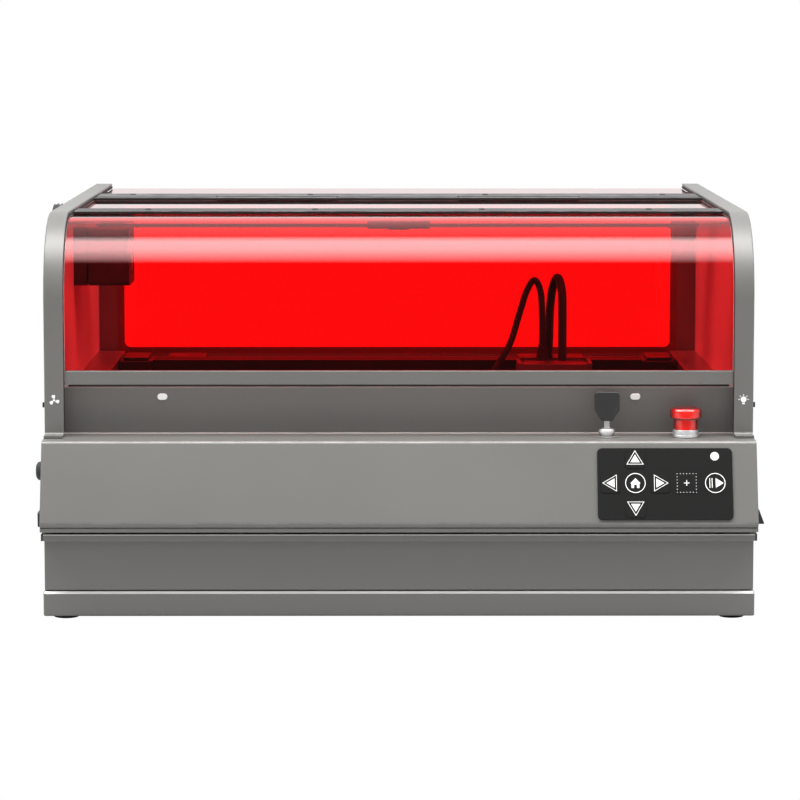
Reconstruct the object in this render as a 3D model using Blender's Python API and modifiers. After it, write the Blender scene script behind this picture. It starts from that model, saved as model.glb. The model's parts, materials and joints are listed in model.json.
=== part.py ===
"""Desktop laser cutter: a sheet-steel casing with a lift-up acrylic hood, a control console,
a pull-out material drawer and a belt-driven gantry that carries the laser head.

Machine axes: X to the right, Y to the back, Z up. Y = 0 is the front face of the side panels and
Z = 0 is the underside of the base pan. All sizes are in metres.
"""
import math

import bmesh
import bpy
from mathutils import Matrix, Vector

# ---- casing -------------------------------------------------------------------------------------
WIDTH = 0.566            # over the two side panels
HALF = WIDTH / 2
TOP_Z = 0.3164           # top of the side panels
BACK_Y = 0.506           # rear edge of the side panels
SHEET = 0.002            # sheet steel
GAP = 0.0003             # between pieces that touch
CLEAR = 0.001            # beside pieces that move
OVERCUT = 0.004          # how far a cutter passes the surface it opens

TOP_ROUND = 0.0664       # radius of the side panels' front top corner
LIP = 0.0153             # inward lip along the side panels' front and top edge
LIP_FOOT = 0.011         # tab at the foot of the lip, on the shelf
LEDGE = 0.021            # tabs inside the side panels that carry the roof

SKIRT_Y = -0.0295        # front face of the base pan
SKIRT_Z = 0.0192
SKIRT_BEVEL = 0.0022
FOOT_R = 0.011
FOOT_H = 0.0035
FOOT_X = HALF - 0.017
FOOT_FRONT_Y = -0.009
FOOT_REAR_Y = BACK_Y - 0.030

# ---- console ------------------------------------------------------------------------------------
SHELF_Z = 0.140
SHELF_EDGE_Y = -0.0263   # where the shelf and the sloped face would meet without their round
SHELF_BACK_Y = 0.020
SHELF_ROUND = 0.0085
CONSOLE_FLOOR_Z = 0.070
CONSOLE_FLOOR_ROUND = 0.004
SLOPE = math.radians(20.35)   # sloped face, from the vertical

FRONT_WALL_TOP = 0.1785
FRONT_WALL_FLANGE = 0.012

# ---- hood ---------------------------------------------------------------------------------------
ACRYLIC = 0.003
HOOD_SINK = 0.0045       # the acrylic lies this far inside the side panels' lips
HOOD_BAR_BOTTOM = 0.1817
HOOD_BAR_TOP = 0.1927
HOOD_BAR_T = 0.0078
STRIP_T = 0.0025         # steel strips on top of the acrylic
CROSS_RAIL_Y = (0.098, 0.138)
LID_LEAF_Y = (0.294, 0.302)
FIXED_LEAF_Y = (0.3215, 0.365)
HINGE_Y = 0.3135
HINGE_R = 0.005
HINGE_PIN_R = 0.0022
HINGE_RUN = 0.0004       # running clearance round the pin
KNUCKLES = 5
KNUCKLE_GAP = 0.0006

WINDOW_HALF = HALF - 0.026    # rear window
WINDOW_Z = (0.1625, TOP_Z - 0.0164)
WINDOW_LAP = 0.006

CAMERA_SIZE = (0.051, 0.036, 0.0075)
CAMERA_Y = 0.079

# ---- drawer -------------------------------------------------------------------------------------
DRAWER_FRONT_Y = -0.028
DRAWER_LIP_Y = -0.040
DRAWER_LIP_Z = 0.062
DRAWER_TOP_Z = 0.0675
TRAY_HALF = HALF - 0.021
TRAY_BACK_Y = BACK_Y - 0.036
TRAY_TOP_Z = 0.0660
TRAY_SHEET = 0.0015
TRAY_FLANGE = 0.010
RUNNER_Z = (0.026, 0.040)
BED_T = 0.022            # honeycomb bed
BED_FACE = 0.0015        # its face sheet and rim
BED_RIB_H = 0.015        # ribs that carry the bed
BED_RIB_T = 0.012
BED_RIB_INSET = 0.030    # from the tray's ends

# ---- gantry -------------------------------------------------------------------------------------
RAIL_INNER_X = HALF - 0.027
RAIL_Z = (0.140, 0.160)
RAIL_Y = (0.030, BACK_Y - 0.011)
BEAM_Y = (BACK_Y - 0.094, BACK_Y - 0.064)
BEAM_Z = (0.132, 0.160)
BLOCK_T = 0.031          # end blocks of the beam
BLOCK_Y = (BACK_Y - 0.101, BACK_Y - 0.041)
MOTOR_SIDE = 0.035
X_MOTOR_X = -0.195
SHAFT_R = 0.003
SHAFT_Y = BACK_Y - 0.026
SHAFT_Z = 0.122
PULLEY_R = 0.0064
PULLEY_W = 0.008
BEARING_W = 0.014
Y_MOTOR_X = HALF - 0.113
Y_MOTOR_SIDE = 0.042
HEAD_X = 0.1405
HEAD_W = 0.0665
HEAD_Y = (BEAM_Y[0] - 0.089, BEAM_Y[0] - 0.030)
HEAD_Z = (0.085, 0.165)
NOZZLE_R = 0.014
NOZZLE_TIP_R = 0.005
NOZZLE_TIP_Z = 0.0705
PLATE_W = 0.060          # carriage plate on the beam
PLATE_T = 0.006
PLATE_Z = (0.096, 0.1595)
SLIDE_W = 0.036          # focus slide between the head and the carriage plate
CLIP_LEFT_X = 0.074      # cable clip on the left of the head
CLIP_Z = 0.122
CLIP_Y = (HEAD_Y[0] + 0.021, HEAD_Y[0] + 0.041)

HARNESS_R = 0.003
HOSE_R = 0.0038
BOOT_R = 0.006
BOOT_TOP_R = 0.0036
BOOT_H = 0.0145
BOOT_X = 0.1300
HARNESS_Y = HEAD_Y[0] + 0.031
HOSE_Y = (HEAD_Y[0] + 0.029, HEAD_Y[0] + 0.050)  # front and rear end of the hose loop

# ---- exhaust ------------------------------------------------------------------------------------
FAN_SIDE = 0.060
FAN_DEPTH = 0.048
FAN_BORE_R = 0.028
FAN_Y = 0.276
FAN_Z = TOP_Z - 0.0449
FAN_HUB_R = 0.014
FAN_BLADES = 7
COLLAR_R = 0.0395
COLLAR_WALL = 0.0025
COLLAR_OUT = 0.017
DUCT_R = 0.030

# ---- electronics --------------------------------------------------------------------------------
SUPPLY_X = (-0.200, -0.100)
SUPPLY_Y = (-0.030, 0.016)
SUPPLY_H = 0.036
BOARD_X = (0.020, 0.140)
BOARD_Y = (-0.032, 0.016)
BOARD_T = 0.0016
BOARD_LIFT = 0.005
STANDOFF_IN = 0.004      # standoffs in from the board's edges
CHIP_X = (0.060, 0.080)
CHIP_Y = (-0.018, 0.002)
CHIP_H = 0.004
PLUG_ROW_X = (0.095, 0.130)
PLUG_ROW_Y = (-0.004, 0.008)
PLUG_ROW_H = 0.010

# ---- controls -----------------------------------------------------------------------------------
KEYPAD_X = (HALF - 0.1265, HALF - 0.0198)
KEYPAD_DOWN = (0.0062, 0.0642)    # measured down the slope from the shelf edge
KEYPAD_T = 0.0014
KEYPAD_ROUND = 0.004
KEY_SIDE = 0.0160
KEY_R = 0.0082
KEY_ROUND = 0.003
KEY_FIT = 0.00035
KEY_LIFT = 0.0008        # underside of a key above the sloped face
KEY_PROUD = 0.0003
PAD_X = HALF - 0.0967    # centre of the arrow pad
PAD_DOWN = 0.0346
PAD_STEP_X = 0.0195
PAD_STEP_DOWN = 0.0198
FRAME_KEY_X = HALF - 0.0562
START_KEY_X = HALF - 0.0337

ESTOP_X = HALF - 0.054
ESTOP_RING_R = 0.0108
ESTOP_BORE_R = 0.0100
ESTOP_NECK_R = 0.0097
ESTOP_STEM_R = 0.0065
ESTOP_HEAD_R = 0.0127
ESTOP_RING_H = 0.006
ESTOP_H = 0.0235
ESTOP_STEM_L = 0.012
ESTOP_CROWN = 0.002
KEY_LOCK_X = HALF - 0.117
LOCK_BEZEL_R = 0.0105
LOCK_RING_R = 0.00675
LOCK_BARREL_R = 0.008
LOCK_BARREL_H = 0.022
LOCK_BEZEL_H = 0.0012
LOCK_H = 0.0065
PLUG_R = 0.0045
KEY_BLADE = (0.0042, 0.0018)
KEY_HEAD_W = 0.020
KEY_HEAD_H = 0.022
KEY_HEAD_T = 0.005
KEY_BLADE_TOP = 0.0155   # above the shelf
KEY_INSERT = 0.012       # length of the blade inside the lock

ROCKER_Y = (-0.0315, -0.0105)
ROCKER_Z = 0.080
ROCKER_HALF = 0.0058
ROCKER_OUT = 0.0065
INLET_Y = (-0.034, -0.012)
INLET_Z = (0.0722, 0.0842)
INLET_OUT = 0.003
INLET_DEPTH = 0.018
INLET_WALL = 0.0018
KNOB_Y = -0.022
KNOB_Z = 0.1157
KNOB_R = 0.0077
KNOB_OUT = 0.0046
KNOB_SHAFT_R = 0.003
SWITCH_Y = (0.006, 0.010)
SWITCH_Z = (0.163, 0.167)
SWITCH_OUT = 0.002
SWITCH_TRAVEL = 0.004

# ---- sizes that follow from those above ---------------------------------------------------------
INNER = HALF - SHEET
FIT_X = INNER - GAP                      # pieces held between the side panels
HOOD_HALF = HALF - LIP - CLEAR
HOOD_TOP = TOP_Z - HOOD_SINK
HOOD_UNDER = HOOD_TOP - ACRYLIC
TRAY_BOTTOM_Z = SKIRT_Z + CLEAR          # the tray slides out over the base pan's skirt
STRIP_Z = (HOOD_TOP + GAP, HOOD_TOP + GAP + STRIP_T)
HINGE_Z = STRIP_Z[1] - HINGE_R
REAR_INNER_Y = BACK_Y - SHEET - GAP
PARTS = "desktop_laser_cutter"
CUTTERS = "cutters"

MATERIALS = {
    "grey_steel": ((0.19, 0.185, 0.175), 0.42, 0.35),
    "red_acrylic": ((0.85, 0.005, 0.008), 0.08, 0.0),
    "black_plastic": ((0.02, 0.02, 0.02), 0.45, 0.0),
    "black_aluminium": ((0.02, 0.02, 0.022), 0.4, 0.6),
    "aluminium": ((0.55, 0.55, 0.56), 0.35, 0.9),
    "steel": ((0.5, 0.5, 0.5), 0.3, 1.0),
    "chrome": ((0.75, 0.75, 0.76), 0.08, 1.0),
    "keypad": ((0.012, 0.012, 0.012), 0.35, 0.0),
    "red_plastic": ((0.7, 0.01, 0.01), 0.15, 0.0),
    "circuit_board": ((0.01, 0.12, 0.04), 0.5, 0.0),
    "rubber": ((0.01, 0.01, 0.01), 0.8, 0.0),
    "cable_black": ((0.01, 0.01, 0.01), 0.55, 0.0),
}


# ---- tools --------------------------------------------------------------------------------------
def clear_scene():
    for item in list(bpy.data.objects):
        bpy.data.objects.remove(item, do_unlink=True)


def collection(name):
    """The scene's collection of this name, made on first use."""
    found = bpy.data.collections.get(name)
    if found is None:
        found = bpy.data.collections.new(name)
        bpy.context.scene.collection.children.link(found)
    return found


def material(name):
    """A Principled material of the named finish, made on first use."""
    found = bpy.data.materials.get(name)
    if found is None:
        colour, roughness, metallic = MATERIALS[name]
        found = bpy.data.materials.new(name)
        found.use_nodes = True
        shader = found.node_tree.nodes["Principled BSDF"]
        shader.inputs["Base Color"].default_value = (*colour, 1.0)
        shader.inputs["Roughness"].default_value = roughness
        shader.inputs["Metallic"].default_value = metallic
    return found


def add_object(name, mesh, at=(0, 0, 0), finish=None):
    """A part when it has a finish, otherwise a cutter or an added shape that is only a tool."""
    item = bpy.data.objects.new(name, mesh)
    item.location = at
    if finish:
        mesh.materials.append(material(finish))
        collection(PARTS).objects.link(item)
    else:
        collection(CUTTERS).objects.link(item)
        item.hide_render = True
        item.display_type = 'WIRE'
    return item


def block(name, x, y, z, finish=None, edge=0.0):
    """A box between pairs of X, Y and Z values, with its edges rounded by edge."""
    spans = [sorted(pair) for pair in (x, y, z)]
    size = [high - low for low, high in spans]
    centre = [(high + low) / 2 for low, high in spans]
    shape = bmesh.new()
    bmesh.ops.create_cube(shape, size=1.0)
    bmesh.ops.scale(shape, vec=size, verts=shape.verts)
    mesh = bpy.data.meshes.new(name)
    shape.to_mesh(mesh)
    shape.free()
    item = add_object(name, mesh, centre, finish)
    if edge:
        bevel = item.modifiers.new("edges", 'BEVEL')
        bevel.width = edge
        bevel.segments = 2
    return item


def rounded(corners):
    """An outline through corners (a, b) or (a, b, radius), with an arc at each one with a radius."""
    points = []
    count = len(corners)
    for index, corner in enumerate(corners):
        here = Vector(corner[:2])
        if len(corner) < 3:
            points.append(here)
            continue
        before = (Vector(corners[index - 1][:2]) - here).normalized()
        after = (Vector(corners[(index + 1) % count][:2]) - here).normalized()
        half = before.angle(after) / 2
        radius = corner[2]
        centre = here + (before + after).normalized() * radius / math.sin(half)
        start = here + before * radius / math.tan(half) - centre
        turn = start.angle_signed(here + after * radius / math.tan(half) - centre)
        steps = max(2, math.ceil(abs(turn) / math.radians(7 if radius > 0.02 else 22)))
        for step in range(steps + 1):
            angle = -turn * step / steps
            points.append(centre + Matrix.Rotation(angle, 2) @ start)
    return points


def circle(radius, steps=20):
    return [Vector((radius * math.cos(t), radius * math.sin(t)))
            for t in (2 * math.pi * k / steps for k in range(steps))]


# How an outline's two directions and its thickness lie in the machine, for each axis it runs along.
RUNS = {
    'X': Matrix(((0, 0, 1), (1, 0, 0), (0, 1, 0))),
    'Y': Matrix(((1, 0, 0), (0, 0, -1), (0, 1, 0))),
    'Z': Matrix.Identity(3),
}


def curve_to_mesh(source, finish):
    """Turn a closed curve object into a welded mesh object in the same place."""
    bpy.context.view_layer.update()
    evaluated = source.evaluated_get(bpy.context.evaluated_depsgraph_get())
    mesh = bpy.data.meshes.new_from_object(evaluated)
    shape = bmesh.new()
    shape.from_mesh(mesh)
    bmesh.ops.remove_doubles(shape, verts=shape.verts, dist=1e-6)
    bmesh.ops.recalc_face_normals(shape, faces=shape.faces)
    shape.to_mesh(mesh)
    shape.free()
    name = source.name
    place = source.matrix_world.copy()
    bpy.data.objects.remove(source, do_unlink=True)
    mesh.name = name
    mesh.materials.clear()
    item = add_object(name, mesh, finish=finish)
    item.matrix_world = place
    return item


def prism(name, outline, axis, span, finish=None, pivot=(0.0, 0.0)):
    """A flat outline carried along an axis between two values. X takes (y, z), Y takes (x, z)
    and Z takes (x, y) points. The object's origin lies at pivot in the outline's plane."""
    low, high = sorted(span)
    data = bpy.data.curves.new(name, 'CURVE')
    data.dimensions = '2D'
    data.fill_mode = 'BOTH'
    data.extrude = (high - low) / 2
    spline = data.splines.new('POLY')
    spline.points.add(len(outline) - 1)
    for point, (a, b) in zip(spline.points, outline):
        point.co = (a - pivot[0], b - pivot[1], 0, 1)
    spline.use_cyclic_u = True
    item = bpy.data.objects.new(name, data)
    bpy.context.scene.collection.objects.link(item)
    middle = (high + low) / 2
    turn = RUNS[axis]
    along = middle if axis != 'Y' else -middle
    item.matrix_world = Matrix.LocRotScale(turn @ Vector((*pivot, along)), turn.to_quaternion(), None)
    return curve_to_mesh(item, finish)


def turned(name, profile, at, finish=None, axis='Z', steps=24, closed=False):
    """A profile of (radius, height) points, running down its outer side, turned about an axis."""
    mesh = bpy.data.meshes.new(name)
    points = [(radius, 0, height) for radius, height in profile]
    edges = [(k, k + 1) for k in range(len(points) - 1)]
    if closed:
        edges.append((len(points) - 1, 0))
    mesh.from_pydata(points, edges, [])
    item = add_object(name, mesh, at, finish)
    if axis == 'X':
        item.rotation_euler.y = math.pi / 2
    if axis == '-X':
        item.rotation_euler.y = -math.pi / 2
    screw = item.modifiers.new("turn", 'SCREW')
    screw.steps = screw.render_steps = steps
    screw.use_merge_vertices = True
    screw.merge_threshold = 0.00001
    screw.use_smooth_shade = True
    return item


def rod(name, radius, at, span, finish=None, axis='Z', steps=24):
    """A round bar between two heights along its axis, measured from the point at."""
    low, high = span
    return turned(name, [(0, high), (radius, high), (radius, low), (0, low)], at, finish, axis, steps)


def ring(name, outer, inner, at, span, finish=None, axis='Z', steps=24):
    low, high = span
    profile = [(inner, high), (outer, high), (outer, low), (inner, low)]
    return turned(name, profile, at, finish, axis, steps, closed=True)


def combine(target, tool, operation):
    change = target.modifiers.new(tool.name, 'BOOLEAN')
    change.operation = operation
    change.solver = 'EXACT'
    change.object = tool


def cut(target, tool):
    combine(target, tool, 'DIFFERENCE')


def join(target, tool):
    combine(target, tool, 'UNION')


def parent_all(frame, items, at):
    """Parent items to an empty that stands at a machine position, without moving them."""
    frame.location = at
    for item in items:
        item.parent = frame
        item.location = item.location - Vector(at)


def empty(name):
    frame = bpy.data.objects.new(name, None)
    collection(PARTS).objects.link(frame)
    return frame


# ---- casing -------------------------------------------------------------------------------------
def make_base_pan():
    """Floor with a bevelled front skirt and short sides in front of the side panels."""
    skirt = [(-GAP, 0), (SKIRT_Y, 0), (SKIRT_Y, SKIRT_Z - SKIRT_BEVEL),
             (SKIRT_Y + SKIRT_BEVEL, SKIRT_Z), (-GAP, SKIRT_Z)]
    pan = prism("base_pan", skirt, 'X', (-HALF, HALF), "grey_steel")
    cut(pan, block("pan_hollow", (-INNER, INNER), (SKIRT_Y + SKIRT_BEVEL + SHEET / 4, OVERCUT),
                   (SHEET, SKIRT_Z + OVERCUT)))
    join(pan, block("pan_floor", (-FIT_X, FIT_X), (SKIRT_Y / 2, REAR_INNER_Y), (0, SHEET)))


def make_feet():
    profile = [(0, -GAP), (FOOT_R, -GAP), (FOOT_R, -FOOT_H * 0.7), (FOOT_R * 0.9, -FOOT_H),
               (0, -FOOT_H)]
    for side, x in (("left", -FOOT_X), ("right", FOOT_X)):
        for end, y in (("front", FOOT_FRONT_Y), ("rear", FOOT_REAR_Y)):
            turned(f"foot_{end}_{side}", profile, (x, y, 0), "rubber")


def side_outline(inset, reach=0.0):
    """Side panel outline in (y, z), moved inwards by inset at the front and the top."""
    top = TOP_Z - inset
    back = BACK_Y + reach
    return rounded([(inset, -reach), (inset, top, TOP_ROUND - inset), (back, top), (back, -reach)])


def make_side_panel(name, side):
    """One side: a web with a lip along its front and top, which ends in a foot on the shelf."""
    lip_x = (side * (HALF - LIP), side * HALF)
    hollow_x = (side * (HALF - LIP - OVERCUT), side * INNER)
    foot_z = SHELF_Z + GAP
    panel = prism(name, side_outline(0), 'X', lip_x, "grey_steel")
    cut(panel, prism(name + "_hollow", side_outline(SHEET, OVERCUT), 'X', hollow_x))
    cut(panel, block(name + "_below_lip", hollow_x, (-OVERCUT, SHEET * 1.5), (-OVERCUT, foot_z)))
    join(panel, block(name + "_foot", lip_x, (-LIP_FOOT, SHEET / 2), (foot_z, foot_z + SHEET)))
    ledge_x = (side * (INNER - LEDGE), side * (HALF - SHEET / 2))
    join(panel, block(name + "_ledge", ledge_x, (FIXED_LEAF_Y[0] + LEDGE, REAR_INNER_Y - LEDGE),
                      (HOOD_UNDER - GAP - SHEET, HOOD_UNDER - GAP)))
    slot_z = (SWITCH_Z[0] - KEY_FIT, SWITCH_Z[1] + SWITCH_TRAVEL + KEY_FIT)
    slot_y = (SWITCH_Y[0] - KEY_FIT, SWITCH_Y[1] + KEY_FIT)
    wall_x = (side * (INNER - OVERCUT), side * (HALF + OVERCUT))
    cut(panel, block(name + "_slot", wall_x, slot_y, slot_z))
    if side < 0:
        cut(panel, rod("duct_hole", DUCT_R, (-HALF, FAN_Y, FAN_Z), (-OVERCUT, OVERCUT), axis='X',
                       steps=32))


def slope_y(z):
    """Y of the sloped face at a height."""
    return SHELF_EDGE_Y - (SHELF_Z - z) * math.tan(SLOPE)


def console_outline(inset, back):
    """Console section in (y, z), moved inwards by inset and open towards back."""
    shelf = SHELF_Z - inset
    floor = CONSOLE_FLOOR_Z + inset
    shift = inset / math.cos(SLOPE)
    return rounded([(back, shelf), (slope_y(shelf) + shift, shelf, SHELF_ROUND - inset),
                    (slope_y(floor) + shift, floor, CONSOLE_FLOOR_ROUND - inset), (back, floor)])


def make_console():
    """Shelf, sloped face, floor and cheeks in one shell that is open to the back."""
    shell = prism("console_shell", console_outline(0, -GAP), 'X', (-HALF, HALF), "grey_steel")
    join(shell, block("console_rear", (-FIT_X, FIT_X), (-SHEET - OVERCUT, SHELF_BACK_Y),
                      (CONSOLE_FLOOR_Z, SHELF_Z)))
    cut(shell, prism("console_hollow", console_outline(SHEET, SHELF_BACK_Y + OVERCUT), 'X',
                     (-INNER, INNER)))
    shelf = (-SHEET - OVERCUT, OVERCUT)
    cut(shell, rod("estop_hole", ESTOP_STEM_R + KEY_FIT, (ESTOP_X, 0, SHELF_Z), shelf))
    cut(shell, rod("lock_hole", LOCK_BARREL_R + KEY_FIT, (KEY_LOCK_X, 0, SHELF_Z), shelf))
    cut(shell, rod("knob_hole", KNOB_SHAFT_R + KEY_FIT, (-HALF, KNOB_Y, KNOB_Z), shelf, axis='X'))
    right = (INNER - OVERCUT, HALF + OVERCUT)
    cut(shell, block("rocker_hole", right, (ROCKER_Y[0] - KEY_FIT, ROCKER_Y[1] + KEY_FIT),
                     (ROCKER_Z - ROCKER_HALF - CLEAR, ROCKER_Z + ROCKER_HALF + CLEAR)))
    lap = INLET_WALL / 2
    cut(shell, block("inlet_hole", (-right[0], -right[1]), (INLET_Y[0] + lap - GAP, INLET_Y[1] - lap + GAP),
                     (INLET_Z[0] + lap - GAP, INLET_Z[1] - lap + GAP)))


def make_walls():
    """Front wall under the hood, framed rear panel and its acrylic window."""
    front = SHELF_BACK_Y + GAP
    top = FRONT_WALL_TOP
    bent = [(front, CONSOLE_FLOOR_Z), (front, top), (front + FRONT_WALL_FLANGE, top),
            (front + FRONT_WALL_FLANGE, top - SHEET), (front + SHEET, top - SHEET),
            (front + SHEET, CONSOLE_FLOOR_Z)]
    prism("front_wall", bent, 'X', (-FIT_X, FIT_X), "grey_steel")

    rear = block("rear_panel", (-FIT_X, FIT_X), (BACK_Y - SHEET, BACK_Y), (0, HOOD_UNDER - GAP),
                 "grey_steel")
    cut(rear, block("window_hole", (-WINDOW_HALF, WINDOW_HALF), (BACK_Y - SHEET - OVERCUT,
                    BACK_Y + OVERCUT), WINDOW_Z))
    reach = WINDOW_HALF + WINDOW_LAP
    block("rear_window", (-reach, reach), (REAR_INNER_Y - ACRYLIC, REAR_INNER_Y),
          (WINDOW_Z[0] - WINDOW_LAP, WINDOW_Z[1] + WINDOW_LAP / 2), "red_acrylic")


def make_roof():
    """Fixed acrylic behind the hinge, with the hinge leaf that is screwed to it."""
    block("roof_panel", (-HOOD_HALF, HOOD_HALF), (FIXED_LEAF_Y[0] + CLEAR, BACK_Y - GAP),
          (HOOD_UNDER, HOOD_TOP), "red_acrylic")
    leaf = block("hinge_leaf_fixed", (-HOOD_HALF, HOOD_HALF), FIXED_LEAF_Y, STRIP_Z, "black_aluminium")
    add_knuckles(leaf, FIXED_LEAF_Y[0], first=0)
    rod("hinge_pin", HINGE_PIN_R, (0, HINGE_Y, HINGE_Z), (-HOOD_HALF + CLEAR, HOOD_HALF - CLEAR),
        "steel", axis='X', steps=12)


def add_knuckles(leaf, edge_y, first):
    """Join every second knuckle of the piano hinge to a leaf and bore the leaf for the pin."""
    length = 2 * HOOD_HALF / KNUCKLES
    inward = STRIP_T if edge_y > HINGE_Y else -STRIP_T
    for number in range(first, KNUCKLES, 2):
        low = -HOOD_HALF + number * length + KNUCKLE_GAP / 2
        high = low + length - KNUCKLE_GAP
        tag = f"{leaf.name}_{number}"
        join(leaf, block(tag + "_tang", (low, high), (HINGE_Y, edge_y + inward), STRIP_Z))
        join(leaf, rod(tag + "_knuckle", HINGE_R, (0, HINGE_Y, HINGE_Z), (low, high), axis='X',
                       steps=16))
    cut(leaf, rod(leaf.name + "_bore", HINGE_PIN_R + HINGE_RUN, (0, HINGE_Y, HINGE_Z),
                  (-HALF, HALF), axis='X', steps=12))


# ---- hood ---------------------------------------------------------------------------------------
def make_hood():
    """The lid: bent acrylic, its bottom bar, a cross rail, the camera and the moving hinge leaf."""
    lid = empty("lid_axis")
    front = HOOD_SINK
    back = LID_LEAF_Y[1] + CLEAR
    outer = TOP_ROUND - HOOD_SINK
    groove = HOOD_BAR_BOTTOM + (HOOD_BAR_TOP - HOOD_BAR_BOTTOM) / 2
    bend = rounded([(front, groove + GAP), (front, HOOD_TOP, outer), (back, HOOD_TOP),
                    (back, HOOD_UNDER), (front + ACRYLIC, HOOD_UNDER, outer - ACRYLIC),
                    (front + ACRYLIC, groove + GAP)])
    across = (-HOOD_HALF, HOOD_HALF)
    shield = prism("lid_shield", bend, 'X', across, "red_acrylic")
    middle = front + ACRYLIC / 2
    bar = block("lid_bottom_bar", across, (middle - HOOD_BAR_T / 2, middle + HOOD_BAR_T / 2),
                (HOOD_BAR_BOTTOM, HOOD_BAR_TOP), "grey_steel", edge=SHEET / 5)
    cut(bar, block("bar_groove", (-HALF, HALF), (front - GAP, front + ACRYLIC + GAP),
                   (groove, HOOD_BAR_TOP + OVERCUT)))
    rail = block("lid_cross_rail", across, CROSS_RAIL_Y, STRIP_Z, "black_aluminium", edge=SHEET / 5)
    leaf = block("hinge_leaf_lid", across, LID_LEAF_Y, STRIP_Z, "black_aluminium")
    add_knuckles(leaf, LID_LEAF_Y[1], first=1)
    wide, deep, tall = CAMERA_SIZE
    camera = block("lid_camera", (-wide / 2, wide / 2), (CAMERA_Y - deep / 2, CAMERA_Y + deep / 2),
                   (HOOD_UNDER - GAP - tall, HOOD_UNDER - GAP), "black_plastic", edge=SHEET / 2)
    parent_all(lid, (shield, bar, rail, leaf, camera), (0, HINGE_Y, HINGE_Z))


# ---- drawer -------------------------------------------------------------------------------------
def drawer_outline(inset, back):
    """Drawer front in (y, z): a flat face under a finger lip, moved inwards by inset."""
    bottom = SKIRT_Z + CLEAR / 2 + inset
    face = DRAWER_FRONT_Y + inset
    under = DRAWER_LIP_Z + inset
    edge = DRAWER_LIP_Y + inset
    top = DRAWER_TOP_Z - inset
    return [Vector(p) for p in ((back, bottom), (face, bottom), (face, under), (edge, under),
                                (edge, top), (back, top))]


def make_drawer():
    """Front with a finger lip, a tray that slides on two runners, and the honeycomb bed."""
    front = prism("drawer_front", drawer_outline(0, -GAP), 'X', (-HALF, HALF), "grey_steel")
    cut(front, prism("drawer_front_hollow", drawer_outline(SHEET, OVERCUT), 'X', (-INNER, INNER)))

    floor = TRAY_BOTTOM_Z + TRAY_SHEET
    tray = block("drawer_tray", (-TRAY_HALF, TRAY_HALF), (GAP, TRAY_BACK_Y),
                 (TRAY_BOTTOM_Z, TRAY_TOP_Z), "steel")
    inside = TRAY_HALF - TRAY_SHEET
    cut(tray, block("tray_hollow", (-inside, inside), (GAP + TRAY_SHEET, TRAY_BACK_Y - TRAY_SHEET),
                    (floor, TRAY_TOP_Z + OVERCUT)))
    for side in (-1, 1):
        flange_x = (side * (inside + TRAY_SHEET / 2), side * (TRAY_HALF + TRAY_FLANGE))
        join(tray, block(f"tray_flange_{side}", flange_x, (2 * OVERCUT, TRAY_BACK_Y - 2 * OVERCUT),
                         (RUNNER_Z[1] + GAP, RUNNER_Z[1] + GAP + SHEET)))
    for number, y in enumerate((BED_RIB_INSET, TRAY_BACK_Y - BED_RIB_INSET - BED_RIB_T)):
        join(tray, block(f"tray_rib_{number}", (-inside + OVERCUT, inside - OVERCUT),
                         (y, y + BED_RIB_T), (floor - TRAY_SHEET / 2, floor + BED_RIB_H)))
    make_bed(inside - CLEAR, (GAP + TRAY_SHEET + CLEAR, TRAY_BACK_Y - TRAY_SHEET - CLEAR),
             floor + BED_RIB_H + GAP)
    for name, side in (("drawer_runner_left", -1), ("drawer_runner_right", 1)):
        block(name, (side * (TRAY_HALF + CLEAR), side * FIT_X), (CLEAR, TRAY_BACK_Y), RUNNER_Z, "steel")


def make_bed(half, span_y, low):
    """Honeycomb bed as a face sheet with a rim, open underneath."""
    bed = block("honeycomb_bed", (-half, half), span_y, (low, low + BED_T), "aluminium")
    inner = half - BED_FACE
    cut(bed, block("bed_hollow", (-inner, inner), (span_y[0] + BED_FACE, span_y[1] - BED_FACE),
                   (low - OVERCUT, low + BED_T - BED_FACE)))


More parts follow.
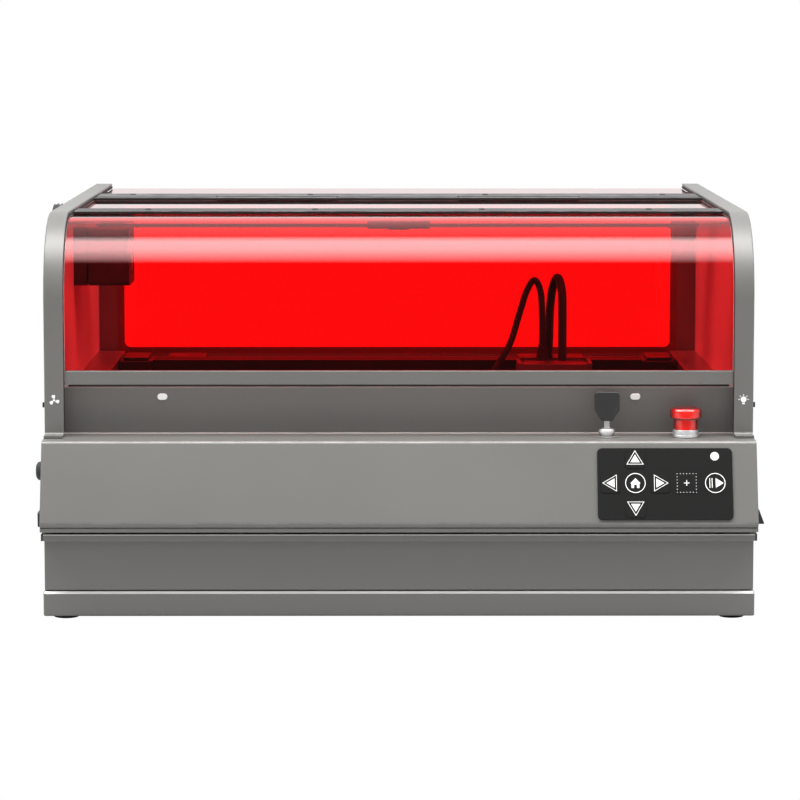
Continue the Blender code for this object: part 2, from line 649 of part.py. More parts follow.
# ---- gantry -------------------------------------------------------------------------------------
def make_gantry():
    """Side rails, the beam with its end blocks and motor, and the shaft that drives the belts."""
    block_inner = RAIL_INNER_X - CLEAR / 2 - BLOCK_T
    for name, side in (("left", -1), ("right", 1)):
        rail = block(f"y_rail_{name}", (side * RAIL_INNER_X, side * FIT_X), RAIL_Y, RAIL_Z, "aluminium")
        bearing_x = (side * (RAIL_INNER_X - BEARING_W), side * (RAIL_INNER_X + SHEET))
        join(rail, block(f"bearing_{name}", bearing_x, (SHAFT_Y - PULLEY_R, SHAFT_Y + PULLEY_R),
                         (SHAFT_Z - PULLEY_R, RAIL_Z[0] + SHEET)))
        cut(rail, rod(f"bearing_bore_{name}", SHAFT_R + HINGE_RUN, (0, SHAFT_Y, SHAFT_Z),
                      bearing_bore_span(side), axis='X', steps=12))
        block(f"gantry_block_{name}", (side * block_inner, side * (block_inner + BLOCK_T)), BLOCK_Y,
              (BEAM_Z[0], BEAM_Z[1] + SHEET), "black_aluminium", edge=SHEET / 2)
    reach = block_inner - GAP
    block("gantry_beam", (-reach, reach), BEAM_Y, BEAM_Z, "black_aluminium", edge=SHEET / 2)
    half = MOTOR_SIDE / 2
    block("x_motor", (X_MOTOR_X - half, X_MOTOR_X + half), (BEAM_Y[1] + GAP, BEAM_Y[1] + MOTOR_SIDE),
          (BEAM_Z[0] - SHEET, BEAM_Z[1]), "black_aluminium", edge=SHEET)

    half = Y_MOTOR_SIDE / 2
    motor = block("y_motor", (Y_MOTOR_X - half, Y_MOTOR_X + half), (SHAFT_Y - half, SHAFT_Y + half),
                  (SHAFT_Z - half, SHAFT_Z + half), "black_aluminium", edge=SHEET)
    cut(motor, rod("motor_bore", SHAFT_R + HINGE_RUN, (0, SHAFT_Y, SHAFT_Z),
                   (Y_MOTOR_X - Y_MOTOR_SIDE, Y_MOTOR_X + Y_MOTOR_SIDE), axis='X', steps=12))
    shaft_profile = mirrored_profile(
        [(0, RAIL_INNER_X - CLEAR), (SHAFT_R, RAIL_INNER_X - CLEAR), (SHAFT_R, block_inner + PULLEY_W),
         (PULLEY_R, block_inner + PULLEY_W), (PULLEY_R, block_inner), (SHAFT_R, block_inner)])
    turned("y_drive_shaft", shaft_profile, (0, SHAFT_Y, SHAFT_Z), "steel", axis='X', steps=16)


def bearing_bore_span(side):
    """Span along X of a bearing's bore, from inside the machine into the rail's bearing block."""
    ends = (side * (RAIL_INNER_X - BEARING_W - OVERCUT), side * (RAIL_INNER_X + SHEET / 2))
    return min(ends), max(ends)


def mirrored_profile(upper):
    """A turned profile completed by its own mirror image below height 0."""
    return upper + [(radius, -height) for radius, height in reversed(upper)]


def make_head():
    """Carriage plate on the beam, and the laser module with its focus slide, nozzle and leads."""
    half = PLATE_W / 2
    plate_back = BEAM_Y[0] - CLEAR / 2
    plate = block("carriage_plate", (HEAD_X - half, HEAD_X + half), (plate_back - PLATE_T, plate_back),
                  PLATE_Z, "black_aluminium")
    hook_z = BEAM_Z[1] + CLEAR / 2
    join(plate, block("carriage_hook", (HEAD_X - half, HEAD_X + half), (plate_back - PLATE_T, BEAM_Y[1]),
                      (hook_z, hook_z + SHEET)))
    join(plate, block("carriage_riser", (HEAD_X - half, HEAD_X + half),
                      (plate_back - PLATE_T, plate_back - PLATE_T / 2),
                      (PLATE_Z[1] - SHEET, hook_z + SHEET)))

    half = HEAD_W / 2
    module = block("laser_module", (HEAD_X - half, HEAD_X + half), HEAD_Y, HEAD_Z, "aluminium")
    slide = (plate_back - PLATE_T - GAP, HEAD_Y[1] - SHEET)
    join(module, block("focus_slide", (HEAD_X - SLIDE_W / 2, HEAD_X + SLIDE_W / 2), slide,
                       (HEAD_Z[0] + PLATE_T * 2, HEAD_Z[1] - PLATE_T * 2)))
    join(module, block("cable_clip", (CLIP_LEFT_X, HEAD_X - half + SHEET), CLIP_Y,
                       (CLIP_Z - SHEET, CLIP_Z)))
    nozzle = [(0, HEAD_Z[0] + SHEET), (NOZZLE_R, HEAD_Z[0] + SHEET), (NOZZLE_R, HEAD_Z[0] - SHEET),
              (NOZZLE_TIP_R, NOZZLE_TIP_Z), (0, NOZZLE_TIP_Z)]
    join(module, turned("nozzle", nozzle, (HEAD_X, sum(HEAD_Y) / 2, 0)))


def smooth_route(points, step):
    """Points about step apart on a smooth curve through the route's own points."""
    route = [Vector(p) for p in points]
    ends = [2 * route[0] - route[1]] + route + [2 * route[-1] - route[-2]]
    result = [route[0]]
    for p0, p1, p2, p3 in zip(ends, ends[1:], ends[2:], ends[3:]):
        count = max(1, round((p2 - p1).length / step))
        for k in range(1, count + 1):
            t = k / count
            result.append(0.5 * (2 * p1 + (p2 - p0) * t + (2 * p0 - 5 * p1 + 4 * p2 - p3) * t ** 2
                                 + (3 * p1 - p0 - 3 * p2 + p3) * t ** 3))
    return result


def tube(name, route, radius, finish):
    """A round lead along a route."""
    points = smooth_route(route, radius * 5)
    data = bpy.data.curves.new(name, 'CURVE')
    data.dimensions = '3D'
    data.bevel_depth = radius
    data.bevel_resolution = 2
    data.use_fill_caps = True
    spline = data.splines.new('POLY')
    spline.points.add(len(points) - 1)
    for node, place in zip(spline.points, points):
        node.co = (*place, 1)
    item = bpy.data.objects.new(name, data)
    bpy.context.scene.collection.objects.link(item)
    return curve_to_mesh(item, finish)


def make_leads():
    """The harness and the air hose, which loop up from the top of the laser module."""
    top = HEAD_Z[1] + GAP
    boot = [(0, BOOT_H), (BOOT_TOP_R, BOOT_H), (BOOT_TOP_R, BOOT_H * 0.6), (BOOT_R, BOOT_H * 0.2),
            (BOOT_R, 0), (0, 0)]
    turned("cable_boot", boot, (BOOT_X, HARNESS_Y, top), "rubber", steps=16)
    tube("laser_harness", [
        (0.0790, HARNESS_Y, CLIP_Z + GAP), (0.0790, HARNESS_Y, 0.136), (0.0880, HARNESS_Y, 0.157),
        (0.1010, HARNESS_Y, 0.180), (0.1085, HARNESS_Y, 0.204), (0.1160, HARNESS_Y, 0.228),
        (0.1230, HARNESS_Y, 0.2385), (0.1285, HARNESS_Y, 0.226), (BOOT_X, HARNESS_Y, 0.200),
        (BOOT_X, HARNESS_Y, top + BOOT_H + GAP)], HARNESS_R, "cable_black")
    front, rear = HOSE_Y
    tube("air_hose", [
        (0.1365, rear, top), (0.1370, rear, 0.185), (0.1378, rear, 0.210), (0.1400, rear - 0.003, 0.230),
        (0.1440, (front + rear) / 2, 0.2405), (0.1475, front + 0.003, 0.228), (0.1480, front, 0.205),
        (0.1480, front, 0.185), (0.1480, front, top)], HOSE_R, "cable_black")


# ---- exhaust ------------------------------------------------------------------------------------
def make_exhaust():
    """Fan on the inside of the left panel and the duct collar on its outside."""
    half = FAN_SIDE / 2
    wall = -FIT_X
    frame = block("fan_frame", (wall, wall + FAN_DEPTH), (FAN_Y - half, FAN_Y + half),
                  (FAN_Z - half, FAN_Z + half), "black_plastic", edge=SHEET)
    centre = (wall, FAN_Y, FAN_Z)
    cut(frame, rod("fan_bore", FAN_BORE_R, centre, (-OVERCUT, FAN_DEPTH + OVERCUT), axis='X', steps=32))
    spokes = (wall + CLEAR, wall + CLEAR + SHEET)
    reach = FAN_BORE_R + CLEAR
    join(frame, block("fan_spoke_y", spokes, (FAN_Y - reach, FAN_Y + reach),
                      (FAN_Z - SHEET, FAN_Z + SHEET)))
    join(frame, block("fan_spoke_z", spokes, (FAN_Y - SHEET, FAN_Y + SHEET),
                      (FAN_Z - reach, FAN_Z + reach)))
    join(frame, rod("fan_plate", FAN_HUB_R, centre, (CLEAR / 2, OVERCUT), axis='X'))
    pin_end = FAN_DEPTH / 2
    join(frame, rod("fan_pin", SHEET, centre, (SHEET, pin_end), axis='X', steps=12))

    hub_z = (OVERCUT + CLEAR, FAN_DEPTH - OVERCUT)
    rotor = rod("fan_rotor", FAN_HUB_R, centre, hub_z, "black_plastic", axis='X')
    middle = (hub_z[0] + hub_z[1]) / 2
    for number in range(FAN_BLADES):
        blade = block(f"blade_{number}", (-SHEET / 2, SHEET / 2), (-FAN_HUB_R * 0.6, FAN_HUB_R * 0.6),
                      (FAN_HUB_R * 0.7, FAN_BORE_R - CLEAR))
        spin = Matrix.Rotation(2 * math.pi * number / FAN_BLADES, 4, 'X')
        pitch = Matrix.Rotation(math.radians(50), 4, 'Z')
        offset = Matrix.Translation(blade.location)
        blade.matrix_world = Matrix.Translation((wall + middle, FAN_Y, FAN_Z)) @ spin @ pitch @ offset
        join(rotor, blade)
    cut(rotor, rod("rotor_bore", SHEET + HINGE_RUN, centre, (0, pin_end + CLEAR), axis='X', steps=12))

    ring("exhaust_collar", COLLAR_R, COLLAR_R - COLLAR_WALL, (-HALF, FAN_Y, FAN_Z),
         (-COLLAR_OUT, -GAP), "black_plastic", axis='X', steps=32)


# ---- electronics --------------------------------------------------------------------------------
def make_electronics():
    """Power supply and control board on the console floor."""
    floor = CONSOLE_FLOOR_Z + SHEET + GAP
    block("power_supply", SUPPLY_X, SUPPLY_Y, (floor, floor + SUPPLY_H), "aluminium",
          edge=SHEET / 2)
    under = floor + BOARD_LIFT
    seat = under + BOARD_T / 2
    board = block("control_board", BOARD_X, BOARD_Y, (under, under + BOARD_T), "circuit_board")
    for number, x in enumerate((BOARD_X[0] + STANDOFF_IN, BOARD_X[1] - STANDOFF_IN)):
        for row, y in enumerate((BOARD_Y[0] + STANDOFF_IN, BOARD_Y[1] - STANDOFF_IN)):
            join(board, rod(f"standoff_{number}_{row}", SHEET, (x, y, floor), (0, BOARD_LIFT + BOARD_T / 2),
                            steps=8))
    join(board, block("chip", CHIP_X, CHIP_Y, (seat, seat + CHIP_H)))
    join(board, block("plug_row", PLUG_ROW_X, PLUG_ROW_Y, (seat, seat + PLUG_ROW_H)))


# ---- controls -----------------------------------------------------------------------------------
def on_slope(item, down, x=0.0, height=0.0):
    """Put an object that was made flat onto the sloped face, a distance down from its top edge."""
    item.rotation_euler = (math.pi / 2 - SLOPE, 0, 0)
    outward = Vector((0, -math.cos(SLOPE), math.sin(SLOPE)))
    along = Vector((0, -math.sin(SLOPE), -math.cos(SLOPE)))
    item.location = Vector((x, SHELF_EDGE_Y, SHELF_Z)) + along * down + outward * height


def square(side, corner):
    half = side / 2
    return rounded([(-half, -half, corner), (half, -half, corner), (half, half, corner),
                    (-half, half, corner)])


def key_layout():
    """Name, outline maker, X and distance down the slope of each key."""
    def flat(grow):
        return square(KEY_SIDE + 2 * grow, KEY_ROUND)

    def disc(grow):
        return circle(KEY_R + grow)

    yield "key_up", flat, PAD_X, PAD_DOWN - PAD_STEP_DOWN
    yield "key_down", flat, PAD_X, PAD_DOWN + PAD_STEP_DOWN
    yield "key_left", flat, PAD_X - PAD_STEP_X, PAD_DOWN
    yield "key_right", flat, PAD_X + PAD_STEP_X, PAD_DOWN
    yield "key_home", disc, PAD_X, PAD_DOWN
    yield "key_frame", flat, FRAME_KEY_X, PAD_DOWN
    yield "key_start", disc, START_KEY_X, PAD_DOWN


def make_keypad():
    """A dark plate on the sloped face with seven keys in its openings."""
    low, high = KEYPAD_X
    top, bottom = KEYPAD_DOWN
    half_x = (high - low) / 2
    half_y = (bottom - top) / 2
    outline = rounded([(-half_x, -half_y, KEYPAD_ROUND), (half_x, -half_y, KEYPAD_ROUND),
                       (half_x, half_y, KEYPAD_ROUND), (-half_x, half_y, KEYPAD_ROUND)])
    plate = prism("keypad_plate", outline, 'Z', (0, KEYPAD_T), "keypad")
    on_slope(plate, (top + bottom) / 2, (low + high) / 2, GAP + KEYPAD_T / 2)
    for name, shape, x, down in key_layout():
        hole = prism(name + "_hole", shape(KEY_FIT), 'Z', (0, OVERCUT))
        on_slope(hole, down, x, KEYPAD_T / 2)
        cut(plate, hole)
        depth = GAP + KEYPAD_T + KEY_PROUD - KEY_LIFT
        key = prism(name, shape(0), 'Z', (0, depth), "keypad")
        on_slope(key, down, x, KEY_LIFT + depth / 2)


def make_estop():
    """Emergency stop: a steel ring on the shelf and a red mushroom button that pushes down."""
    seat = SHELF_Z + GAP
    ring("estop_ring", ESTOP_RING_R, ESTOP_BORE_R, (ESTOP_X, 0, seat), (0, ESTOP_RING_H), "chrome")
    neck = ESTOP_RING_H * 0.8
    head = ESTOP_H * 0.62
    profile = [(0, ESTOP_H), (ESTOP_HEAD_R * 0.75, ESTOP_H - ESTOP_CROWN / 5),
               (ESTOP_HEAD_R, ESTOP_H - ESTOP_CROWN), (ESTOP_HEAD_R, head + ESTOP_CROWN),
               (ESTOP_NECK_R, head), (ESTOP_NECK_R, neck), (ESTOP_STEM_R, neck),
               (ESTOP_STEM_R, -ESTOP_STEM_L), (0, -ESTOP_STEM_L)]
    turned("estop_button", profile, (ESTOP_X, 0, seat), "red_plastic", steps=32)


def make_key_switch():
    """Key switch: a chromed lock through the shelf, its plug, and the key in the plug's keyway."""
    seat = SHELF_Z + GAP
    bore = PLUG_R + HINGE_RUN
    profile = [(bore, LOCK_H), (LOCK_RING_R, LOCK_H), (LOCK_RING_R, LOCK_BEZEL_H),
               (LOCK_BEZEL_R, LOCK_BEZEL_H), (LOCK_BEZEL_R, 0), (LOCK_BARREL_R, 0),
               (LOCK_BARREL_R, -LOCK_BARREL_H), (bore, -LOCK_BARREL_H)]
    turned("key_lock", profile, (KEY_LOCK_X, 0, seat), "chrome", closed=True)

    wide, thick = KEY_BLADE
    low = KEY_BLADE_TOP
    high = low + KEY_HEAD_H
    half = KEY_HEAD_W / 2
    outline = rounded([(-wide, low), (wide, low), (half, low + KEY_HEAD_H * 0.4),
                       (half, high, KEY_ROUND), (-half, high, KEY_ROUND), (-half, low + KEY_HEAD_H * 0.4)])
    head = prism("key", outline, 'Y', (-KEY_HEAD_T / 2, KEY_HEAD_T / 2), "black_plastic")
    head.location += Vector((KEY_LOCK_X, 0, seat))
    join(head, block("key_blade", (KEY_LOCK_X - wide / 2, KEY_LOCK_X + wide / 2),
                     (-thick / 2, thick / 2), (seat + LOCK_H - KEY_INSERT, seat + low + SHEET)))
    plug = rod("key_plug", PLUG_R, (KEY_LOCK_X, 0, seat), (SHEET - LOCK_BARREL_H, LOCK_H - CLEAR),
               "steel", steps=20)
    cut(plug, block("keyway", (KEY_LOCK_X - wide / 2 - GAP, KEY_LOCK_X + wide / 2 + GAP),
                    (-thick / 2 - GAP, thick / 2 + GAP),
                    (seat + LOCK_H - KEY_INSERT - GAP, seat + LOCK_H + OVERCUT)))


def make_side_controls():
    """Power rocker, power inlet, air knob and the two slide switches."""
    inside = INNER - SHEET
    low, high = ROCKER_Z - ROCKER_HALF, ROCKER_Z + ROCKER_HALF
    wedge = [(inside, low), (HALF + ROCKER_OUT, low), (HALF + ROCKER_OUT / 3, high), (inside, high)]
    prism("power_rocker", wedge, 'Y', ROCKER_Y, "black_plastic", pivot=(INNER, ROCKER_Z))

    lap = INLET_WALL / 2
    inlet = block("power_inlet", (-HALF - INLET_OUT, -HALF - GAP), INLET_Y, INLET_Z, "black_plastic",
                  edge=SHEET / 4)
    join(inlet, block("inlet_body", (-HALF - INLET_OUT / 2, -HALF + INLET_DEPTH),
                      (INLET_Y[0] + lap, INLET_Y[1] - lap), (INLET_Z[0] + lap, INLET_Z[1] - lap)))
    wall = INLET_WALL + lap
    cut(inlet, block("inlet_socket", (-HALF - INLET_OUT - OVERCUT, -HALF + INLET_DEPTH - SHEET),
                     (INLET_Y[0] + wall, INLET_Y[1] - wall), (INLET_Z[0] + wall, INLET_Z[1] - wall)))

    dome = [(0, KNOB_OUT), (KNOB_R * 0.6, KNOB_OUT * 0.92), (KNOB_R * 0.92, KNOB_OUT * 0.6),
            (KNOB_R, GAP * 2), (KNOB_R, GAP), (KNOB_SHAFT_R, GAP), (KNOB_SHAFT_R, -SHEET * 3),
            (0, -SHEET * 3)]
    turned("air_knob", dome, (-HALF, KNOB_Y, KNOB_Z), "black_plastic", axis='-X')

    for name, side in (("fan_switch", -1), ("light_switch", 1)):
        block(name, (side * (INNER - SHEET), side * (HALF + SWITCH_OUT)), SWITCH_Y, SWITCH_Z,
              "black_plastic")


# ---- assembly -----------------------------------------------------------------------------------
def place_machine():
    """Move the machine so that its origin is under the middle of its box, at the feet's underside."""
    front = min(y for y, _ in console_outline(0, 0))
    left, right = -HALF - COLLAR_OUT, HALF + ROCKER_OUT
    machine = empty("machine")
    for item in list(collection(PARTS).objects) + list(collection(CUTTERS).objects):
        if item.parent is None and item is not machine:
            item.parent = machine
    machine.location = (-(left + right) / 2, -(front + BACK_Y) / 2, FOOT_H)


def main():
    clear_scene()
    make_base_pan()
    make_feet()
    make_side_panel("side_panel_left", -1)
    make_side_panel("side_panel_right", 1)
    make_console()
    make_walls()
    make_roof()
    make_hood()
    make_drawer()
    make_gantry()
    make_head()
    make_leads()
    make_exhaust()
    make_electronics()
    make_keypad()
    make_estop()
    make_key_switch()
    make_side_controls()
    place_machine()


main()
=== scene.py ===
import json
import math

import bmesh
import bpy
import numpy as np
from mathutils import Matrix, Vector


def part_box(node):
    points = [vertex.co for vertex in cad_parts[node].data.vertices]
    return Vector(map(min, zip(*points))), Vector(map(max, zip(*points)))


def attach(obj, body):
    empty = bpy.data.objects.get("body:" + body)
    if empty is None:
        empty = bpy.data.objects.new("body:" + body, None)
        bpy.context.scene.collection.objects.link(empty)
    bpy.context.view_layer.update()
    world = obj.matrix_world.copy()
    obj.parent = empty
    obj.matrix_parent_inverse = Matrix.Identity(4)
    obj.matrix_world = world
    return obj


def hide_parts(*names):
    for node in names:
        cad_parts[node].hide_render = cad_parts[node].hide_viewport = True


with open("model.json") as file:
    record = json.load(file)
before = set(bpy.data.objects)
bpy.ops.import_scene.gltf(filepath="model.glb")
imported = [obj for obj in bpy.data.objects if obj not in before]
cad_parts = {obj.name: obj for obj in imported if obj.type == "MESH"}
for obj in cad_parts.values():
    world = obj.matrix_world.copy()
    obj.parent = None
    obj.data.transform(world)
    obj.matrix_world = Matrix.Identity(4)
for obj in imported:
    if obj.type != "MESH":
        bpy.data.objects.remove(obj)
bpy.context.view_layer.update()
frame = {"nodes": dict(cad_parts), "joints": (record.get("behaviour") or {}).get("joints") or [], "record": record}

# Looks of the desktop laser cutter. Units are metres, X to the right, Y to the back, Z up.
# Every new piece is a surface worked out as rings of points: an outline carried along an axis, a
# profile turned about one, or a section carried along a path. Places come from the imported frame.

# ---- sizes that only the looks need -------------------------------------------------------------
# sheets, edges and gaps
SHEET = 0.002                 # sheet steel
BEND = 0.0014                 # outer radius of a bend in it
RIM = 0.0005                  # softened edge of a cut sheet
FINE_RIM = 0.00025
TOUCH = 0.0003                # gap to a neighbour
PRINT = 0.00008               # thickness of printed marks
ACRYLIC = 0.003
SCREW_R = 0.0026

# console
# under 5 mm, so the edge mask lays the paler edge colour along this round: partly wear, partly painted highlight
SHELF_ROUND = 0.0037
HEM_UP = 0.0072               # start of the roll above the console's foot
HEM_IN = 0.0022               # how far the roll goes in behind the face
HEM_GROOVE = 0.0020

# side panels
PANEL_DEPTH = 0.506
TOP_ROUND = 0.0664            # front top corner
LIP = 0.0153                  # inward lip along the front and the top
LIP_FOOT = 0.011              # tab at its foot
LINER_IN = 3 * SHEET          # the pale liner's distance from the panel's edges
SEAL_T = 0.0022
SEAL_PAST = 0.0007            # the seal's reach past the lip
DUCT_R = 0.030                # opening for the fan

# drawer and pan
DRAWER_LIP = 0.012
DRAWER_LIP_T = 0.0055
END_CAP = 0.0016
FOOT_RAISE = 0.0013           # underside of the drawer face above its folded back
# height of the painted highlight strip along the drawer lip's top edge
LIP_HIGHLIGHT = 0.0009
BEVEL = 0.0018
TRAY_T = 0.0015
TRAY_FLANGE = 0.010
TRAY_RIB = 0.012              # ribs that carry the bed
BED_FRAME = 0.006
CELL = 0.0092                 # across the flats of a bed cell
CELL_WALL = 0.0007

# hood, hinge and rear window
HINGE_R = 0.005
KNUCKLES = 5
LEAF_T = 0.0025
LEAF_GAP = {1: 0.008, -1: 0.0115}      # from the pin to the fixed and the moving leaf
RAIL_SCREWS = (-0.207, -0.069, 0.069, 0.207)
LEAF_SCREWS = (-0.236, -0.078, 0.078, 0.236)
WINDOW_LAP = 0.006            # panel over the pane's edge
WINDOW_ROUND = 0.006

# keypad
KEYS = {"key_up": "up_key", "key_down": "down_key", "key_left": "left_key", "key_right": "right_key",
        "key_home": "home_key", "key_frame": "frame_key", "key_start": "start_key"}
ROUND_KEYS = ("key_home", "key_start")
KEY_ROUND = 0.003
ICON_LINE = 0.0006
ARROW_TURN = {"key_up": -90, "key_down": 90, "key_left": 180, "key_right": 0}
CROSS_ARM = 0.0022
FRAME_DOTS = 7                # along each side of the framing key's sign
PLATE_ROUND = 0.004
WELL = 0.00012                # how far the plate's face lies under the keys' own
DOT_R = 0.0034
DOT_UP = 0.0223               # status dot above the keypad's middle

# lock and key
KEYWAY = (0.0024, 0.0012)
KEYWAY_DEPTH = 0.0113
BLADE_HALF = 0.0021
BLADE_TOP = 0.0125
SHOULDER = 0.0086             # height of the key head's sloped shoulders

# lenses, signs and side controls
LENS_X = 0.190
LENS_Z = 0.1735
LENS_SIZE = (0.008, 0.005)
LENS_PROUD = 0.0006
SIGN_UP = 0.0045
SIGN_R = 0.0042
GRIP_TEETH = 24               # on the air knob
INLET_WALL = 0.0018
INLET_LAP = 0.0009

# gantry and head
RAIL_H = 0.020
RAIL_IN = 0.014
SLOT = 0.003                  # half width and depth of the beam's slots
SHAFT_R = 0.003
PULLEY_R = 0.0064
BELT_OUT = 0.0125             # belt's middle from the inner face of a block
BELT_HALF = 0.002
BELT_T = 0.0009
BELT_BEND = 0.0056
MOTOR_END = 0.009             # end plates of the long motor
HEAD_W = 0.0665
HEAD_D = 0.059
HEAD_H = 0.080
FINS = 17
FIN_T = 0.0014
HARNESS_R = 0.003
HOSE_R = 0.0038
BOOT_RIBS = 6

# fan, collar and electronics
FAN_BLADES = 7
HUB_R = 0.0135
BLADE_R = 0.0262
COLLAR_WALL = 0.0025
COLLAR_DIP = 0.0011
BOARD_T = 0.0016
BOARD_UP = 0.005
SUPPLY_SLOTS = 18

TURN_STEP = 15.0              # degrees between the points of a turned piece's roundings
SMALL_TURN_STEP = 18.0


def span(node, axis):
    """Lowest and highest coordinate of a node's box along axis 0, 1 or 2."""
    low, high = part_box(node)
    return low[axis], high[axis]


def middle(node):
    """Centre of a node's box."""
    low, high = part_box(node)
    return (np.array(low) + np.array(high)) / 2


def joint_at(name):
    """Place of a joint."""
    return np.array(next(joint["pos_m"] for joint in frame["joints"] if joint["name"] == name), float)


# ---- camera, lights and floor -------------------------------------------------------------------
CAMERA_AT = (-0.00345, -2.95554, 0.4844)
CAMERA_PITCH = 6.51
CAMERA_YAW = 0.2
LENS_MM = 154.85
SENSOR_MM = 36.0


def make_camera():
    """A long lens in front of the machine, a little above it and looking down."""
    data = bpy.data.cameras.new("camera")
    data.sensor_width = SENSOR_MM
    data.lens = LENS_MM
    camera = bpy.data.objects.new("camera", data)
    camera.location = CAMERA_AT
    camera.rotation_euler = (math.radians(90 - CAMERA_PITCH), 0, math.radians(-CAMERA_YAW))
    bpy.context.scene.collection.objects.link(camera)
    bpy.context.scene.camera = camera


SOFTBOX_Z = 1.62
SOFTBOX_Y = (-1.34, 0.05)
SOFTBOX_X = 1.5
SOFTBOX_FADE = (0.75, 0.3)    # fall-off at its front and rear edge
SOFTBOX_GLOW = 10.0
FLOOR_Y = (-1.15, 9.0)
FLOOR_X = 7.0
FLOOR_TONE = 0.41
THROUGH_GLOW = 1.18           # white behind the acrylic
FRONT_DARK = 0.05             # what gloss sees in front of the machine


def make_studio():
    """A white studio with a soft box overhead, dim for gloss in front of the machine."""
    scene = bpy.context.scene
    scene.view_settings.view_transform = 'Standard'
    world = bpy.data.worlds.new("studio")
    world.use_nodes = True
    scene.world = world
    nodes = Nodes(world.node_tree)
    background = world.node_tree.nodes["Background"]
    direction = nodes.add("ShaderNodeTexCoord").outputs["Generated"]
    y = nodes.add("ShaderNodeSeparateXYZ", Vector=direction).outputs["Y"]
    behind = nodes.ramp(y, -0.2, 0.05, FRONT_DARK, 1.0)
    path = nodes.add("ShaderNodeLightPath")
    gloss = nodes.ramp(path.outputs["Is Glossy Ray"], 0.0, 1.0, 1.0, behind)
    through = nodes.ramp(path.outputs["Is Transmission Ray"], 0.0, 1.0, 1.0, THROUGH_GLOW)
    nodes.feed(background.inputs["Strength"], nodes.maths('MULTIPLY', gloss, through))
    background.inputs["Color"].default_value = (1, 1, 1, 1)

    softbox = flat_plane("softbox", (-SOFTBOX_X, SOFTBOX_X), SOFTBOX_Y, SOFTBOX_Z, softbox_finish())
    softbox.visible_camera = False
    flat_plane("floor", (-FLOOR_X, FLOOR_X), FLOOR_Y, 0.0, floor_finish())


def softbox_finish():
    """Glow that falls off to nothing at the box's front and rear edges."""
    made = bpy.data.materials.new("softbox_glow")
    made.use_nodes = True
    nodes = Nodes(made.node_tree)
    made.node_tree.nodes.remove(made.node_tree.nodes["Principled BSDF"])
    y = nodes.add("ShaderNodeSeparateXYZ",
                  Vector=nodes.add("ShaderNodeTexCoord").outputs["Object"]).outputs["Y"]
    front, back = SOFTBOX_Y
    rise = nodes.ramp(y, front, front + SOFTBOX_FADE[0])
    fall = nodes.ramp(y, back - SOFTBOX_FADE[1], back, 1.0, 0.0)
    glow = nodes.add("ShaderNodeEmission", Color=(1, 1, 1, 1),
                     Strength=nodes.maths('MULTIPLY', nodes.maths('MULTIPLY', rise, fall), SOFTBOX_GLOW))
    nodes.tree.links.new(glow.outputs[0], made.node_tree.nodes["Material Output"].inputs["Surface"])
    return made


def flat_plane(name, x, y, z, surface):
    """A level rectangle that isn't part of the machine."""
    mesh = bpy.data.meshes.new(name)
    mesh.from_pydata([(x[0], y[0], z), (x[1], y[0], z), (x[1], y[1], z), (x[0], y[1], z)], [], [(0, 1, 2, 3)])
    mesh.materials.append(surface)
    plane = bpy.data.objects.new(name, mesh)
    bpy.context.scene.collection.objects.link(plane)
    return plane


# ---- shader tools -------------------------------------------------------------------------------
class Nodes:
    """Adds nodes to one tree and links them by socket name."""

    def __init__(self, tree):
        self.tree = tree

    def feed(self, socket, value):
        """Links another socket to this one, or sets its value."""
        if isinstance(value, bpy.types.NodeSocket):
            self.tree.links.new(value, socket)
        else:
            socket.default_value = value

    def add(self, kind, settings=None, **inputs):
        """A node with its settings and inputs. An underscore in an input's name stands for a space."""
        node = self.tree.nodes.new(kind)
        for name, value in (settings or {}).items():
            setattr(node, name, value)
        for name, value in inputs.items():
            self.feed(node.inputs[name.replace("_", " ")], value)
        return node

    def maths(self, operation, a, b):
        node = self.add("ShaderNodeMath", {"operation": operation})
        self.feed(node.inputs[0], a)
        self.feed(node.inputs[1], b)
        return node.outputs[0]

    def blend(self, factor, a, b):
        """Colour a where the factor is 0, and b where it is 1."""
        node = self.add("ShaderNodeMix", {"data_type": 'RGBA'}, Factor=factor)
        self.feed(node.inputs[6], a)
        self.feed(node.inputs[7], b)
        return node.outputs[2]

    def ramp(self, value, low, high, to_low=0.0, to_high=1.0):
        """The value mapped from low and high to to_low and to_high, and held beyond them."""
        return self.add("ShaderNodeMapRange", Value=value, From_Min=low, From_Max=high, To_Min=to_low,
                        To_Max=to_high).outputs["Result"]


def new_group(name, inputs, outputs):
    """A shader node group with (name, kind, default) inputs and (name, kind) outputs."""
    group = bpy.data.node_groups.new(name, 'ShaderNodeTree')
    for title, kind, default in inputs:
        socket = group.interface.new_socket(name=title, in_out='INPUT', socket_type=kind)
        socket.default_value = default
    for title, kind in outputs:
        group.interface.new_socket(name=title, in_out='OUTPUT', socket_type=kind)
    nodes = Nodes(group)
    return nodes, group.nodes.new("NodeGroupInput").outputs, group.nodes.new("NodeGroupOutput").inputs


